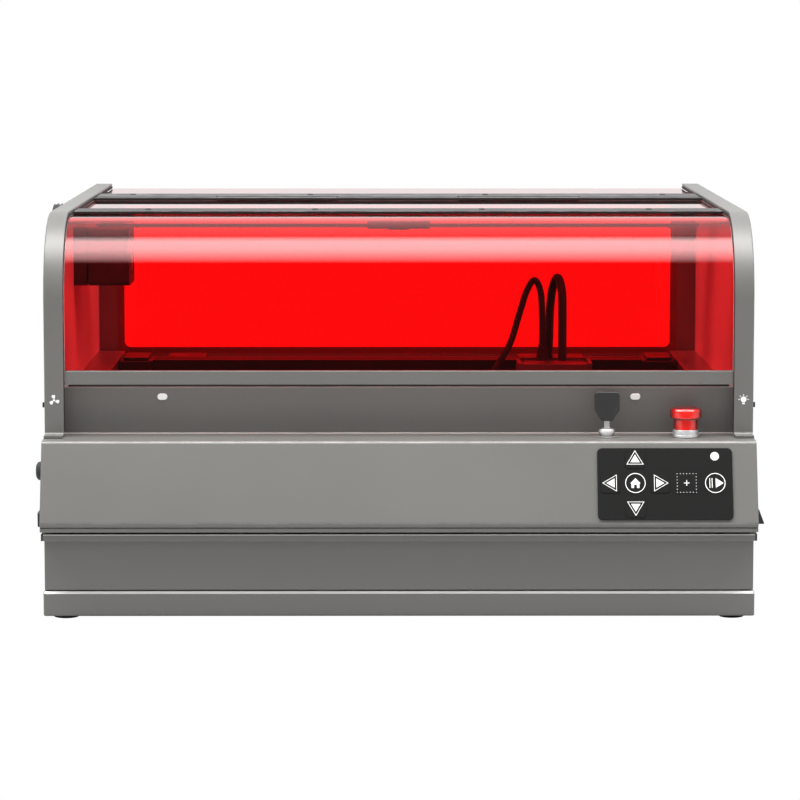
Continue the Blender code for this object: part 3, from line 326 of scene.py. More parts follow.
def grain_group():
    """Fine speckle over soft cloudiness: colour, roughness and height of a coated surface."""
    nodes, given, out = new_group("surface_grain", [
        ("Colour", 'NodeSocketColor', (0.5, 0.5, 0.5, 1)), ("Variation", 'NodeSocketFloat', 0.1),
        ("Grains per Metre", 'NodeSocketFloat', 900.0), ("Stretch", 'NodeSocketVector', (1, 1, 1)),
        ("Roughness", 'NodeSocketFloat', 0.4), ("Roughness Spread", 'NodeSocketFloat', 0.08),
    ], [("Colour", 'NodeSocketColor'), ("Roughness", 'NodeSocketFloat'), ("Height", 'NodeSocketFloat')])
    place = nodes.add("ShaderNodeTexCoord").outputs["Object"]
    scaled = nodes.add("ShaderNodeVectorMath", {"operation": 'MULTIPLY'})
    nodes.tree.links.new(place, scaled.inputs[0])
    nodes.tree.links.new(given["Stretch"], scaled.inputs[1])
    fine = nodes.add("ShaderNodeTexNoise", Vector=scaled.outputs[0], Scale=given["Grains per Metre"],
                     Detail=2.0, Roughness=0.6).outputs[0]
    cloud = nodes.add("ShaderNodeTexNoise", Vector=place, Scale=9.0, Detail=3.0, Roughness=0.55).outputs[0]
    both = nodes.maths('ADD', nodes.maths('MULTIPLY', fine, 0.6), nodes.maths('MULTIPLY', cloud, 0.4))
    swing = nodes.maths('SUBTRACT', both, 0.5)
    change = nodes.maths('MULTIPLY', swing, nodes.maths('MULTIPLY', given["Variation"], 2.0))
    gain = nodes.maths('ADD', change, 1.0)
    tinted = nodes.add("ShaderNodeVectorMath", {"operation": 'SCALE'}, Scale=gain)
    nodes.tree.links.new(given["Colour"], tinted.inputs[0])
    rough = nodes.maths('ADD', given["Roughness"],
                        nodes.maths('MULTIPLY', nodes.maths('SUBTRACT', cloud, 0.5),
                                    nodes.maths('MULTIPLY', given["Roughness Spread"], 3.0)))
    nodes.tree.links.new(tinted.outputs[0], out["Colour"])
    nodes.tree.links.new(rough, out["Roughness"])
    nodes.tree.links.new(fine, out["Height"])
    return nodes.tree


def wear_and_highlight_group():
    """Rubbed edges and painted highlight: where the piece's edge attribute and a patchy noise are both high, the
    colour turns paler, partly for worn paint and partly for light caught on small bends.
    """
    nodes, given, out = new_group("edge_wear", [
        ("Colour", 'NodeSocketColor', (0.5, 0.5, 0.5, 1)),
        ("Worn Colour", 'NodeSocketColor', (0.6, 0.6, 0.6, 1)),
        ("Roughness", 'NodeSocketFloat', 0.4), ("Worn Roughness", 'NodeSocketFloat', 0.3),
        ("Amount", 'NodeSocketFloat', 0.5),
    ], [("Colour", 'NodeSocketColor'), ("Roughness", 'NodeSocketFloat')])
    edge = nodes.add("ShaderNodeAttribute", {"attribute_name": "edge"}).outputs["Fac"]
    place = nodes.add("ShaderNodeTexCoord").outputs["Object"]
    patch = nodes.add("ShaderNodeTexNoise", Vector=place, Scale=60.0, Detail=4.0, Roughness=0.7).outputs[0]
    share = nodes.maths('MULTIPLY', nodes.maths('MULTIPLY', edge, nodes.ramp(patch, 0.42, 0.62)),
                        given["Amount"])
    nodes.tree.links.new(nodes.blend(share, given["Colour"], given["Worn Colour"]), out["Colour"])
    rough = nodes.add("ShaderNodeMix", {"data_type": 'FLOAT'}, Factor=share)
    nodes.tree.links.new(given["Roughness"], rough.inputs["A"])
    nodes.tree.links.new(given["Worn Roughness"], rough.inputs["B"])
    nodes.tree.links.new(rough.outputs["Result"], out["Roughness"])
    return nodes.tree


GRAIN = grain_group()
WEAR_AND_HIGHLIGHT = wear_and_highlight_group()


def new_material(name):
    """A material, its tree's Nodes and its Principled shader."""
    made = bpy.data.materials.new(name)
    made.use_nodes = True
    return made, Nodes(made.node_tree), made.node_tree.nodes["Principled BSDF"]


def coated(name, colour, roughness=0.4, spread=0.08, variation=0.1, grains=900.0, stretch=(1, 1, 1),
           bump=0.00002, worn_and_lit=None, worn_roughness=0.3, edge_amount=0.5, **shader_values):
    """A Principled material with the shared grain and, where an edge colour is given, paler edges that are partly
    rubbed paint and partly painted highlight.
    """
    made, nodes, shader = new_material(name)
    grain = nodes.add("ShaderNodeGroup", {"node_tree": GRAIN})
    for title, value in (("Colour", (*colour, 1)), ("Variation", variation), ("Grains per Metre", grains),
                         ("Stretch", stretch), ("Roughness", roughness), ("Roughness Spread", spread)):
        grain.inputs[title].default_value = value
    shown, rough = grain.outputs["Colour"], grain.outputs["Roughness"]
    if worn_and_lit:
        edge_tone = nodes.add("ShaderNodeGroup", {"node_tree": WEAR_AND_HIGHLIGHT}, Colour=shown, Roughness=rough)
        edge_tone.inputs["Worn Colour"].default_value = (*worn_and_lit, 1)
        edge_tone.inputs["Worn Roughness"].default_value = worn_roughness
        edge_tone.inputs["Amount"].default_value = edge_amount
        shown, rough = edge_tone.outputs["Colour"], edge_tone.outputs["Roughness"]
    nodes.tree.links.new(shown, shader.inputs["Base Color"])
    nodes.tree.links.new(rough, shader.inputs["Roughness"])
    relief = nodes.add("ShaderNodeBump", Height=grain.outputs["Height"], Distance=bump, Strength=1.0)
    nodes.tree.links.new(relief.outputs[0], shader.inputs["Normal"])
    for title, value in shader_values.items():
        shader.inputs[title.replace("_", " ")].default_value = value
    return made


def floor_finish():
    """Floor that glows white where it is seen, and is darker for the light it throws on the machine."""
    made = coated("pale_floor", (FLOOR_TONE,) * 3, roughness=0.9, variation=0.01, grains=40.0,
                  Specular_IOR_Level=0.0)
    nodes = Nodes(made.node_tree)
    shader = made.node_tree.nodes["Principled BSDF"]
    path = nodes.add("ShaderNodeLightPath")
    seen = nodes.maths('MAXIMUM', path.outputs["Is Camera Ray"], path.outputs["Is Transmission Ray"])
    grain = shader.inputs["Base Color"].links[0].from_socket
    nodes.tree.links.new(nodes.blend(seen, grain, (0, 0, 0, 1)), shader.inputs["Base Color"])
    shader.inputs["Emission Color"].default_value = (1, 1, 1, 1)
    bright = nodes.maths('MULTIPLY', path.outputs["Is Transmission Ray"], THROUGH_GLOW)
    nodes.tree.links.new(nodes.maths('MAXIMUM', seen, bright), shader.inputs["Emission Strength"])
    return made


ACRYLIC_TINT = (0.985, 0.035, 0.045)     # for each of a pane's two faces
ACRYLIC_SHADE = (0.95, 0.88, 0.88)       # for light that falls through it
ACRYLIC_IOR = 1.49


def acrylic_finish():
    """Clear red acrylic: glass for what is seen, tinted but open to light from lamps and walls."""
    made, nodes, shader = new_material("red_acrylic")
    cloud = nodes.add("ShaderNodeTexNoise", Scale=4.0, Detail=3.0,
                      Vector=nodes.add("ShaderNodeTexCoord").outputs["Object"]).outputs[0]
    red, green, blue = ACRYLIC_TINT
    tone = nodes.blend(cloud, (red, green, blue, 1), (red, green * 1.2, blue, 1))
    nodes.tree.links.new(tone, shader.inputs["Base Color"])
    shader.inputs["Transmission Weight"].default_value = 1.0
    shader.inputs["IOR"].default_value = ACRYLIC_IOR
    shader.inputs["Roughness"].default_value = 0.0
    open_side = nodes.add("ShaderNodeBsdfTransparent")
    open_side.inputs["Color"].default_value = (*ACRYLIC_SHADE, 1)
    path = nodes.add("ShaderNodeLightPath")
    light_rays = nodes.maths('MAXIMUM', path.outputs["Is Shadow Ray"], path.outputs["Is Diffuse Ray"])
    both = nodes.add("ShaderNodeMixShader", Fac=light_rays)
    nodes.tree.links.new(shader.outputs[0], both.inputs[1])
    nodes.tree.links.new(open_side.outputs[0], both.inputs[2])
    nodes.tree.links.new(both.outputs[0], made.node_tree.nodes["Material Output"].inputs["Surface"])
    return made


def board_finish():
    """Green solder mask with copper lines under it."""
    made, nodes, shader = new_material("circuit_board")
    place = nodes.add("ShaderNodeTexCoord").outputs["Object"]
    lines = nodes.add("ShaderNodeTexVoronoi", {"feature": 'DISTANCE_TO_EDGE', "distance": 'MANHATTAN'},
                      Vector=place, Scale=160.0).outputs["Distance"]
    shown = nodes.blend(nodes.ramp(lines, 0.03, 0.06), (0.05, 0.23, 0.09, 1), (0.01, 0.1, 0.035, 1))
    nodes.tree.links.new(shown, shader.inputs["Base Color"])
    nodes.tree.links.new(nodes.ramp(lines, 0.0, 0.3, 0.3, 0.45), shader.inputs["Roughness"])
    return made


def painted_rim_shade(made, deep):
    """Paints shade into a finish: darkens its colour towards a shade colour where its surface turns away from the
    eye.
    """
    nodes = Nodes(made.node_tree)
    shader = made.node_tree.nodes["Principled BSDF"]
    shown = shader.inputs["Base Color"].links[0].from_socket
    facing = nodes.ramp(nodes.add("ShaderNodeLayerWeight", Blend=0.5).outputs["Facing"], 0.1, 0.6)
    nodes.tree.links.new(nodes.blend(facing, shown, (*deep, 1)), shader.inputs["Base Color"])
    return made


FINISHES = {
    # powder coat: its paler edge colour is partly rubbed paint, partly painted highlight on small bends such as
    # the shelf's round
    "grey_steel": lambda: coated(
        "grey_powder_coat", (0.163, 0.160, 0.151), roughness=0.42, spread=0.05, variation=0.13,
        grains=2600.0, bump=0.00003, worn_and_lit=(0.24, 0.235, 0.225), worn_roughness=0.3, edge_amount=0.55,
        Metallic=0.25),
    "red_acrylic": acrylic_finish,
    "black_plastic": lambda: coated("black_moulding", (0.022, 0.022, 0.023), roughness=0.48,
                                    variation=0.2, grains=1800.0, bump=0.00004, worn_and_lit=(0.05, 0.05, 0.05)),
    "black_aluminium": lambda: coated("black_anodised", (0.03, 0.026, 0.026), roughness=0.42,
                                      variation=0.25, grains=1500.0, bump=0.00001, Metallic=0.5,
                                      worn_and_lit=(0.2, 0.19, 0.185)),
    "aluminium": lambda: coated("clear_anodised", (0.46, 0.46, 0.47), roughness=0.36, variation=0.12,
                                grains=1400.0, stretch=(0.05, 1, 1), bump=0.00001, Metallic=0.85,
                                worn_and_lit=(0.7, 0.7, 0.7)),
    "steel": lambda: coated("zinc_plate", (0.42, 0.42, 0.41), roughness=0.34, variation=0.2,
                            grains=300.0, bump=0.000005, Metallic=0.95),
    # chrome with painted shade and reflection: darker towards its rim as seen
    "chrome": lambda: painted_rim_shade(coated(
        "bright_chrome", (0.95, 0.95, 0.96), roughness=0.16, spread=0.04, variation=0.03, grains=400.0,
        bump=0.000001, Metallic=0.5), (0.3, 0.3, 0.3)),
    "keypad": lambda: coated("keypad_film", (0.0105, 0.0105, 0.0102), roughness=0.6, variation=0.15,
                             grains=3000.0, bump=0.00001, Specular_IOR_Level=0.12),
    # red gloss with painted shade: darker towards its rim as seen
    "red_plastic": lambda: painted_rim_shade(coated(
        "red_gloss", (0.8, 0.018, 0.014), roughness=0.12, spread=0.04, variation=0.08, grains=250.0,
        bump=0.000003, Coat_Weight=0.7, Coat_Roughness=0.04), (0.14, 0.0, 0.0)),
    "circuit_board": board_finish,
    "rubber": lambda: coated("black_rubber", (0.016, 0.016, 0.016), roughness=0.75, variation=0.3,
                             grains=1200.0, bump=0.00005),
    "cable_black": lambda: coated("cable_jacket", (0.014, 0.013, 0.013), roughness=0.5, variation=0.25,
                                  grains=900.0, bump=0.00003),
}
EXTRA_FINISHES = {
    "dark_anodised": lambda: coated("dark_anodised_housing", (0.16, 0.15, 0.15), roughness=0.4,
                                    variation=0.15, grains=1500.0, bump=0.00001, Metallic=0.6,
                                    worn_and_lit=(0.4, 0.4, 0.4)),
    "pale_coat": lambda: coated("pale_inner_coat", (0.78, 0.77, 0.76), roughness=0.5, variation=0.06,
                                grains=2200.0, bump=0.00001),
    # painted highlight: a pale finish for thin strips laid where edges catch the light
    "bright_edge": lambda: coated("bright_cut_edge", (0.62, 0.61, 0.585), roughness=0.35, variation=0.12,
                                  grains=1200.0, bump=0.00001, Metallic=0.45),
    "bright_steel": lambda: coated("bright_key_steel", (0.7, 0.7, 0.69), roughness=0.3, variation=0.12,
                                   grains=500.0, stretch=(0.2, 1, 1), bump=0.000004, Metallic=0.6),
    "white_print": lambda: coated("white_print", (0.82, 0.82, 0.8), roughness=0.55, variation=0.05,
                                  grains=1500.0, bump=0.00001),
    "status_lens": lambda: coated("status_lens", (0.88, 0.88, 0.87), roughness=0.3, variation=0.04,
                                  grains=800.0, bump=0.000005, Coat_Weight=0.5),
    "belt_rubber": lambda: coated("belt_rubber", (0.02, 0.02, 0.02), roughness=0.7, variation=0.3,
                                  grains=1000.0, bump=0.00003),
}
_made = {}


def finish(name):
    """The material of this name, made on first use."""
    if name not in _made:
        _made[name] = (FINISHES.get(name) or EXTRA_FINISHES[name])()
    return _made[name]


# ---- surface tools ------------------------------------------------------------------------------
def unit(vector):
    """The vector divided by its length."""
    return vector / np.linalg.norm(vector)


def outline(*corners, fine=9.0):
    """Closed outline through corners (a, b) or (a, b, r). A corner with radius r becomes points
    centre + r (cos t, sin t) of the circle that touches both its sides. The third column is the bend
    mask sin(pi k / steps), which is 0 on straight stretches and 1 in the middle of a small bend."""
    rows = []
    for number, corner in enumerate(corners):
        here = np.array(corner[:2], float)
        if len(corner) == 2:
            rows.append([[*here, 0.0]])
            continue
        before = unit(np.array(corners[number - 1][:2]) - here)
        after = unit(np.array(corners[(number + 1) % len(corners)][:2]) - here)
        radius = corner[2]
        half = math.acos(np.clip(before @ after, -1, 1)) / 2
        centre = here + unit(before + after) * radius / math.sin(half)
        first = here + before * radius / math.tan(half) - centre
        last = here + after * radius / math.tan(half) - centre
        turn = math.atan2(first[0] * last[1] - first[1] * last[0], first @ last)
        steps = max(3, math.ceil(abs(math.degrees(turn)) / (fine if radius < 0.02 else fine / 4) - 1e-6))
        t = np.linspace(0, 1, steps + 1)[:, None]
        arc = centre + first * np.cos(turn * t) + np.array([-first[1], first[0]]) * np.sin(turn * t)
        mask = np.sin(np.pi * t) * (radius < 0.005)
        rows.append(np.hstack([arc, mask]))
    return np.vstack(rows)


def circle(radius, steps=48, centre=(0.0, 0.0)):
    """Closed outline centre + radius (cos t, sin t)."""
    t = np.arange(steps) * 2 * np.pi / steps
    return np.stack([centre[0] + radius * np.cos(t), centre[1] + radius * np.sin(t), 0 * t], 1)


def inset(points, distance):
    """Every side of a closed outline moved inwards: p + distance (m + n) / (1 + m.n), where m and n
    are the inward normals of the two sides that meet at p."""
    side = np.roll(points[:, :2], -1, 0) - points[:, :2]
    side /= np.linalg.norm(side, axis=1)[:, None]
    x, y = points[:, 0], points[:, 1]
    sense = np.sign(np.sum(x * np.roll(y, -1) - y * np.roll(x, -1)))
    ahead = np.stack([-side[:, 1], side[:, 0]], 1) * sense
    behind = np.roll(ahead, 1, 0)
    moved = points.copy()
    moved[:, :2] += distance * (ahead + behind) / (1 + (ahead * behind).sum(1))[:, None]
    return moved


AXES = {'X': (2, 0, 1), 'Y': (0, 2, 1), 'Z': (0, 1, 2)}


def rings_along(shape, low, high, rim=0.0, axis='X'):
    """Outline rings from low to high along an axis. Each end is rounded: at angle t the ring stands
    rim (1 - sin t) short of the end, inset by rim (1 - cos t). The fourth column is the edge mask."""
    t = np.linspace(0, np.pi / 2, 4) if rim else np.zeros(1)
    rings = []
    for end, sign, order in ((low, 1, t[::-1]), (high, -1, t)):
        for angle in order:
            level = inset(shape, rim * (1 - math.cos(angle))) if angle else shape
            along = end + sign * rim * (1 - math.sin(angle))
            mask = np.maximum(level[:, 2], math.sin(2 * angle))
            flat = np.column_stack([level[:, :2], np.full(len(level), along)])
            rings.append(np.column_stack([flat[:, AXES[axis]], mask]))
    return np.array(rings)


def quads(rows, columns, loop):
    """Quads between neighbouring rings of a rows x columns grid that closes along its columns."""
    row = np.arange(rows if loop else rows - 1)[:, None]
    column = np.arange(columns)[None, :]
    after = (column + 1) % columns
    above = (row + 1) % rows
    corners = [row * columns + column, row * columns + after, above * columns + after,
               above * columns + column]
    return np.stack(np.broadcast_arrays(*corners), -1).reshape(-1, 4)


def signed_volume(points, faces):
    """Six times the volume, from a fan of triangles in every face."""
    total = 0.0
    for size in {len(face) for face in faces}:
        group = points[np.array([face for face in faces if len(face) == size])]
        first = group[:, :1]
        total += np.einsum('fvi,fvi->', np.broadcast_to(first, group[:, 1:-1].shape),
                           np.cross(group[:, 1:-1], group[:, 2:]))
    return total


def skin(rings, loop=False, inner=False):
    """Points, faces and edge mask of a closed surface through rings of points, with a flat cap on
    each end unless it loops. Faces point outwards, or inwards for the wall of a hollow."""
    rings = np.asarray(rings, float)
    rows, columns = rings.shape[:2]
    points = rings.reshape(rows * columns, -1)
    faces = [list(face) for face in quads(rows, columns, loop)]
    if not loop:
        faces.append(list(range(columns))[::-1])
        faces.append(list(range((rows - 1) * columns, rows * columns)))
    if (signed_volume(points[:, :3], faces) < 0) != inner:
        faces = [face[::-1] for face in faces]
    mask = points[:, 3] if points.shape[1] > 3 else np.zeros(len(points))
    return points[:, :3], faces, mask


def add_piece(name, parts, slot, body, *nodes, extra=None, sharp=40.0, weld=False, place=None):
    """An object from one or more (points, faces, mask) parts that rides on a body."""
    points, faces, mask, offset = [], [], [], 0
    for part_points, part_faces, part_mask in parts:
        points.append(part_points)
        mask.append(part_mask)
        faces += [[offset + corner for corner in face] for face in part_faces]
        offset += len(part_points)
    points = np.vstack(points)
    if place is not None:
        points = place(points)
    mesh = bpy.data.meshes.new(name)
    mesh.from_pydata(points, [], faces)
    edge = mesh.attributes.new("edge", 'FLOAT', 'POINT')
    edge.data.foreach_set("value", np.concatenate(mask).astype(np.float32))
    if weld:
        merged = bmesh.new()
        merged.from_mesh(mesh)
        bmesh.ops.remove_doubles(merged, verts=merged.verts, dist=1e-7)
        merged.to_mesh(mesh)
        merged.free()
    mesh.shade_smooth()
    mesh.set_sharp_from_angle(angle=math.radians(sharp))
    mesh.materials.append(finish(extra or slot))
    item = bpy.data.objects.new(name, mesh)
    flats = item.modifiers.new("flat faces stay flat", 'WEIGHTED_NORMAL')
    flats.keep_sharp = True
    bpy.context.scene.collection.objects.link(item)
    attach(item, body)
    if nodes:
        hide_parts(*nodes)
    return item


def extruded(name, shape, low, high, slot, body, *nodes, rim=RIM, axis='X', **more):
    """An outline carried along an axis, with rounded end edges."""
    return add_piece(name, [skin(rings_along(shape, low, high, rim, axis))], slot, body, *nodes, **more)


def rectangle(low, high, radius):
    """Outline of a rectangle with round corners, from its lowest and its highest corner."""
    (a0, b0), (a1, b1) = low, high
    return outline((a0, b0, radius), (a1, b0, radius), (a1, b1, radius), (a0, b1, radius))


def rounded_box(low, high, corner, rim, axis='Z'):
    """Rings of a box: a rectangle with round corners, carried along an axis with round rims."""
    along = 'XYZ'.index(axis)
    first, second = (k for k in range(3) if k != along)
    shape = rectangle((low[first], low[second]), (high[first], high[second]), corner)
    return rings_along(shape, low[along], high[along], rim, axis)


def opening(shape, centre, radius):
    """A circle with one point at the bearing of each point of an outline about its centre."""
    bearing = np.arctan2(shape[:, 1] - centre[1], shape[:, 0] - centre[0])
    return np.column_stack([centre[0] + radius * np.cos(bearing), centre[1] + radius * np.sin(bearing)])


def pierced(shape, centre, radius, x):
    """A plate between two X values with a round hole: outline rings outside, circle rings inside."""
    stack = ((x[0], shape[:, :2]), (x[1], shape[:, :2]), (x[1], opening(shape, centre, radius)),
             (x[0], opening(shape, centre, radius)))
    return skin(np.array([np.column_stack([np.full(len(face), at), face]) for at, face in stack]), loop=True)


def box_part(x, y, z, corner=RIM, rim=FINE_RIM, axis='Z'):
    """A rounded box between pairs of X, Y and Z values, as one skin."""
    x, y, z = sorted(x), sorted(y), sorted(z)
    return skin(rounded_box((x[0], y[0], z[0]), (x[1], y[1], z[1]), corner, rim, axis))


def lathe_rings(profile, centre, axis='Z', steps=64):
    """Profile points (r, h) turned about an axis: centre + (r cos u, r sin u, h)."""
    profile = np.asarray(profile, float)
    u = np.arange(steps) * 2 * np.pi / steps
    radius, height = profile[:, 0][:, None], profile[:, 1][:, None]
    sign = -1 if axis == '-X' else 1
    flat = np.stack(np.broadcast_arrays(radius * np.cos(u), radius * np.sin(u), sign * height + 0 * u), -1)
    mask = profile[:, 2] if profile.shape[1] > 2 else np.zeros(len(profile))
    rings = flat[..., AXES[axis.strip('-')]] + np.asarray(centre)
    return np.concatenate([rings, np.broadcast_to(mask[:, None, None], (*flat.shape[:2], 1))], -1)


def turned(name, corners, centre, slot, body, *nodes, axis='Z', steps=64, loop=False, **more):
    """A rounded profile turned about an axis. The profile closes on the axis, or on itself."""
    rings = lathe_rings(outline(*corners, fine=TURN_STEP), centre, axis, steps)
    return add_piece(name, [skin(rings, loop=loop)], slot, body, *nodes, weld=not loop, **more)


def part_of_lathe(corners, centre, axis='Z', steps=32, loop=False):
    """A rounded profile turned about an axis, as one skin."""
    return skin(lathe_rings(outline(*corners, fine=SMALL_TURN_STEP), centre, axis, steps), loop=loop)


def screw(seat, axis, radius=SCREW_R, steps=20):
    """Button head: a low dome with a socket in it, standing on its seat."""
    height = radius * 0.42
    socket = height * 0.3
    dome = ((0, socket), (radius * 0.42, socket), (radius * 0.46, height, radius * 0.04),
            (radius * 0.8, height, radius * 0.2), (radius, 0), (0, 0))
    return part_of_lathe(dome, seat, axis, steps)


def hollow(outer, inner):
    """A closed shell: the outer skin and the wall of the hollow inside it."""
    return [skin(outer), skin(inner, inner=True)]


def tube_rings(route, radius, steps=16):
    """Rings round a route, p + radius (u cos t + v sin t), where u and v turn with the route's
    direction by the shortest way from ring to ring."""
    route = np.asarray(route, float)
    tangent = np.gradient(route, axis=0)
    tangent /= np.linalg.norm(tangent, axis=1)[:, None]
    u = unit(np.cross(tangent[0], [0.3, 1.0, 0.2]))
    frames = []
    for direction in tangent:
        u = unit(u - direction * (u @ direction))
        frames.append((u, np.cross(direction, u)))
    t = np.arange(steps) * 2 * np.pi / steps
    u, v = np.array([f[0] for f in frames]), np.array([f[1] for f in frames])
    radius = np.broadcast_to(radius, (len(route),))[:, None, None]
    across = u[:, None] * np.cos(t)[None, :, None] + v[:, None] * np.sin(t)[None, :, None]
    return route[:, None] + radius * across


def smooth_route(points, count):
    """Points on the Catmull-Rom curve through a route's own points."""
    route = np.asarray(points, float)
    ends = np.vstack([2 * route[0] - route[1], route, 2 * route[-1] - route[-2]])
    t = np.linspace(0, len(route) - 1, count)
    k = np.minimum(t.astype(int), len(route) - 2)
    t = (t - k)[:, None]
    p0, p1, p2, p3 = (ends[k + shift] for shift in range(4))
    return 0.5 * (2 * p1 + (p2 - p0) * t + (2 * p0 - 5 * p1 + 4 * p2 - p3) * t ** 2
                  + (3 * p1 - p0 - 3 * p2 + p3) * t ** 3)


# ---- frame of reference on the sloped face ------------------------------------------------------
PRESS = next(np.array(joint["axis"], float) for joint in frame["joints"] if joint["name"] == "up_press")
OUT = -PRESS                                   # away from the sloped face
DOWN = np.array([0.0, -OUT[2], OUT[1]])        # down along it
SIN, COS = OUT[2], -OUT[1]


def plate_size(node):
    """Length down the slope and thickness of a plate that lies on it, from its box."""
    low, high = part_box(node)
    deep, tall = high[1] - low[1], high[2] - low[2]
    square = COS ** 2 - SIN ** 2
    return (COS * tall - SIN * deep) / square, (COS * deep - SIN * tall) / square


def slope_place(origin):
    """Maps (across, down, height) to the frame, about an origin on the sloped face."""
    def place(points):
        across, down, height = points[:, 0:1], points[:, 1:2], points[:, 2:3]
        return np.asarray(origin) + across * np.array([1.0, 0, 0]) + down * DOWN + height * OUT
    return place


def slope_y(z):
    """Y of the console's sloped face at a height: the plane under the keypad plate."""
    _, thick = plate_size("keypad_plate")
    foot = middle("keypad_plate") - OUT * (thick / 2 + TOUCH)
    return foot[1] + (foot[2] - z) * OUT[2] / OUT[1]


# ---- casing -------------------------------------------------------------------------------------
def make_console():
    """Shelf and sloped face as one folded shell with closed cheeks. The face rolls in at its foot
    and ends in a hem, with a fine groove between the two."""
    low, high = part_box("console_shell")
    shelf, floor, back = high.z, low.z, high.y
    roll = floor + HEM_UP
    hem = slope_y(roll) + HEM_IN
    outer = outline((back, shelf), (slope_y(shelf), shelf, SHELF_ROUND), (slope_y(roll), roll, HEM_UP * 0.35),
                    (hem, floor + HEM_UP * 0.56, RIM), (hem + HEM_GROOVE, floor + HEM_UP * 0.5, FINE_RIM),
                    (hem, floor + HEM_UP * 0.42, RIM), (hem, floor, RIM), (back, floor))
    shift = SHEET / COS
    inner = outline((back - SHEET, shelf - SHEET), (slope_y(shelf - SHEET) + shift, shelf - SHEET,
                                                    SHELF_ROUND - SHEET),
                    (slope_y(roll) + shift, roll, BEND), (back - SHEET, roll))
    add_piece("console", hollow(rings_along(outer, low.x, high.x, FINE_RIM),
                                rings_along(inner, low.x + SHEET, high.x - SHEET)),
              "grey_steel", "casing", "console_shell")


def make_side_panel(side):
    """One side: the web with a rounded fold into the lip along its front and top. Each ring is the
    panel's outline; its X runs from the lip's edge outwards, round the fold and back inside."""
    name = "side_panel_" + ("left" if side < 0 else "right")
    low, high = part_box(name)
    face = high.x if side > 0 else low.x
    back, top, bottom = high.y, high.z, low.z
    front = high.y - PANEL_DEPTH
    foot = span("console_shell", 2)[1] + TOUCH
    edge = outline((front, foot), (front, top, TOP_ROUND), (back, top))
    lip = np.column_stack([edge, np.ones(len(edge))])
    plain = np.array([[back, top, 0, 0], [back, bottom, 0, 0], [front, bottom, 0, 0], [front, foot, 0, 0]])
    ring = np.vstack([lip, plain])
    folded = ring[:, 3]
    inner_x = face - side * SHEET
    lip_x = face - side * (SHEET + folded * (LIP - SHEET))

    def moved(amount):
        """The outline moved inwards by an amount for each point."""
        result = ring[:, :2].copy()
        distinct = np.ones(len(ring), bool)
        distinct[len(lip)] = distinct[len(ring) - 1] = False
        offset = inset(ring[distinct][:, :3], 1.0)[:, :2] - ring[distinct][:, :2]
        whole = np.empty((len(ring), 2))
        whole[distinct] = offset
        whole[len(lip)] = whole[len(lip) - 1]
        whole[len(ring) - 1] = whole[0]
        return result + whole * np.broadcast_to(amount, (len(ring),))[:, None]

    def level(x, amount, mask=0.0):
        """A ring at X, moved inwards, with its edge mask."""
        return np.column_stack([np.broadcast_to(x, (len(ring),)), moved(amount), np.full(len(ring), mask)])

    rings = [level(inner_x, SHEET * folded), level(lip_x, SHEET * folded),
             level(lip_x, SHEET * folded / 2, 1.0), level(lip_x, 0.0)]
    rings[2][:, 0] -= side * FINE_RIM * folded
    for t in np.linspace(0, np.pi / 2, 6):
        rings.append(level(face - side * BEND * (1 - math.sin(t)), BEND * (1 - math.cos(t)), math.sin(2 * t)))
    pierced_web = side < 0
    if pierced_web:
        hole = opening(ring, middle("exhaust_collar")[1:], DUCT_R)
        for x in (face, inner_x):
            rings.append(np.column_stack([np.full(len(ring), x), hole, np.zeros(len(ring))]))
    tab = outline((front - LIP_FOOT, foot, FINE_RIM), (front - LIP_FOOT, foot + SHEET, FINE_RIM),
                  (front - FINE_RIM, foot + SHEET, SHEET), (front - FINE_RIM, foot + 3 * SHEET),
                  (front + FINE_RIM, foot + 3 * SHEET), (front + FINE_RIM, foot))
    tab_x = sorted((face - side * LIP, face - side * FINE_RIM))
    add_piece(name + "_shell", [skin(rings, loop=pierced_web), skin(rings_along(tab, *tab_x, FINE_RIM))],
              "grey_steel", "casing", name, weld=True)
    make_liner(side)
    count = len(lip)
    strip = np.vstack([moved(SHEET + TOUCH)[:count], moved(SHEET + SEAL_T)[:count][::-1]])
    strip[[0, -1], 1] += 2 * SHEET
    strip = np.column_stack([strip, np.zeros(len(strip))])
    seal_x = sorted((face - side * (LIP + SEAL_PAST), face - side * (LIP - 2 * SHEET)))
    add_piece(name + "_seal", [skin(rings_along(strip, *seal_x))], "grey_steel", "casing", extra="rubber")


def make_liner(side):
    """A pale sheet on the inner face of a side panel, open where the fan's duct goes through."""
    name = "side_panel_" + ("left" if side < 0 else "right")
    low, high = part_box(name)
    inner_x = (high.x if side > 0 else low.x) - side * SHEET
    front, back = high.y - PANEL_DEPTH + LINER_IN, high.y - LINER_IN
    foot, top = span("console_shell", 2)[1] + TOUCH, high.z - LINER_IN
    shape = outline((front, foot), (front, top, TOP_ROUND - LINER_IN), (back, top), (back, foot))
    x = (inner_x - side * PRINT / 2, inner_x - side * PRINT * 2)
    if side < 0:
        part = pierced(shape, middle("exhaust_collar")[1:], DUCT_R, x)
    else:
        part = skin(rings_along(shape, *sorted(x)))
    add_piece(name + "_liner", [part], "grey_steel", "casing", extra="pale_coat")


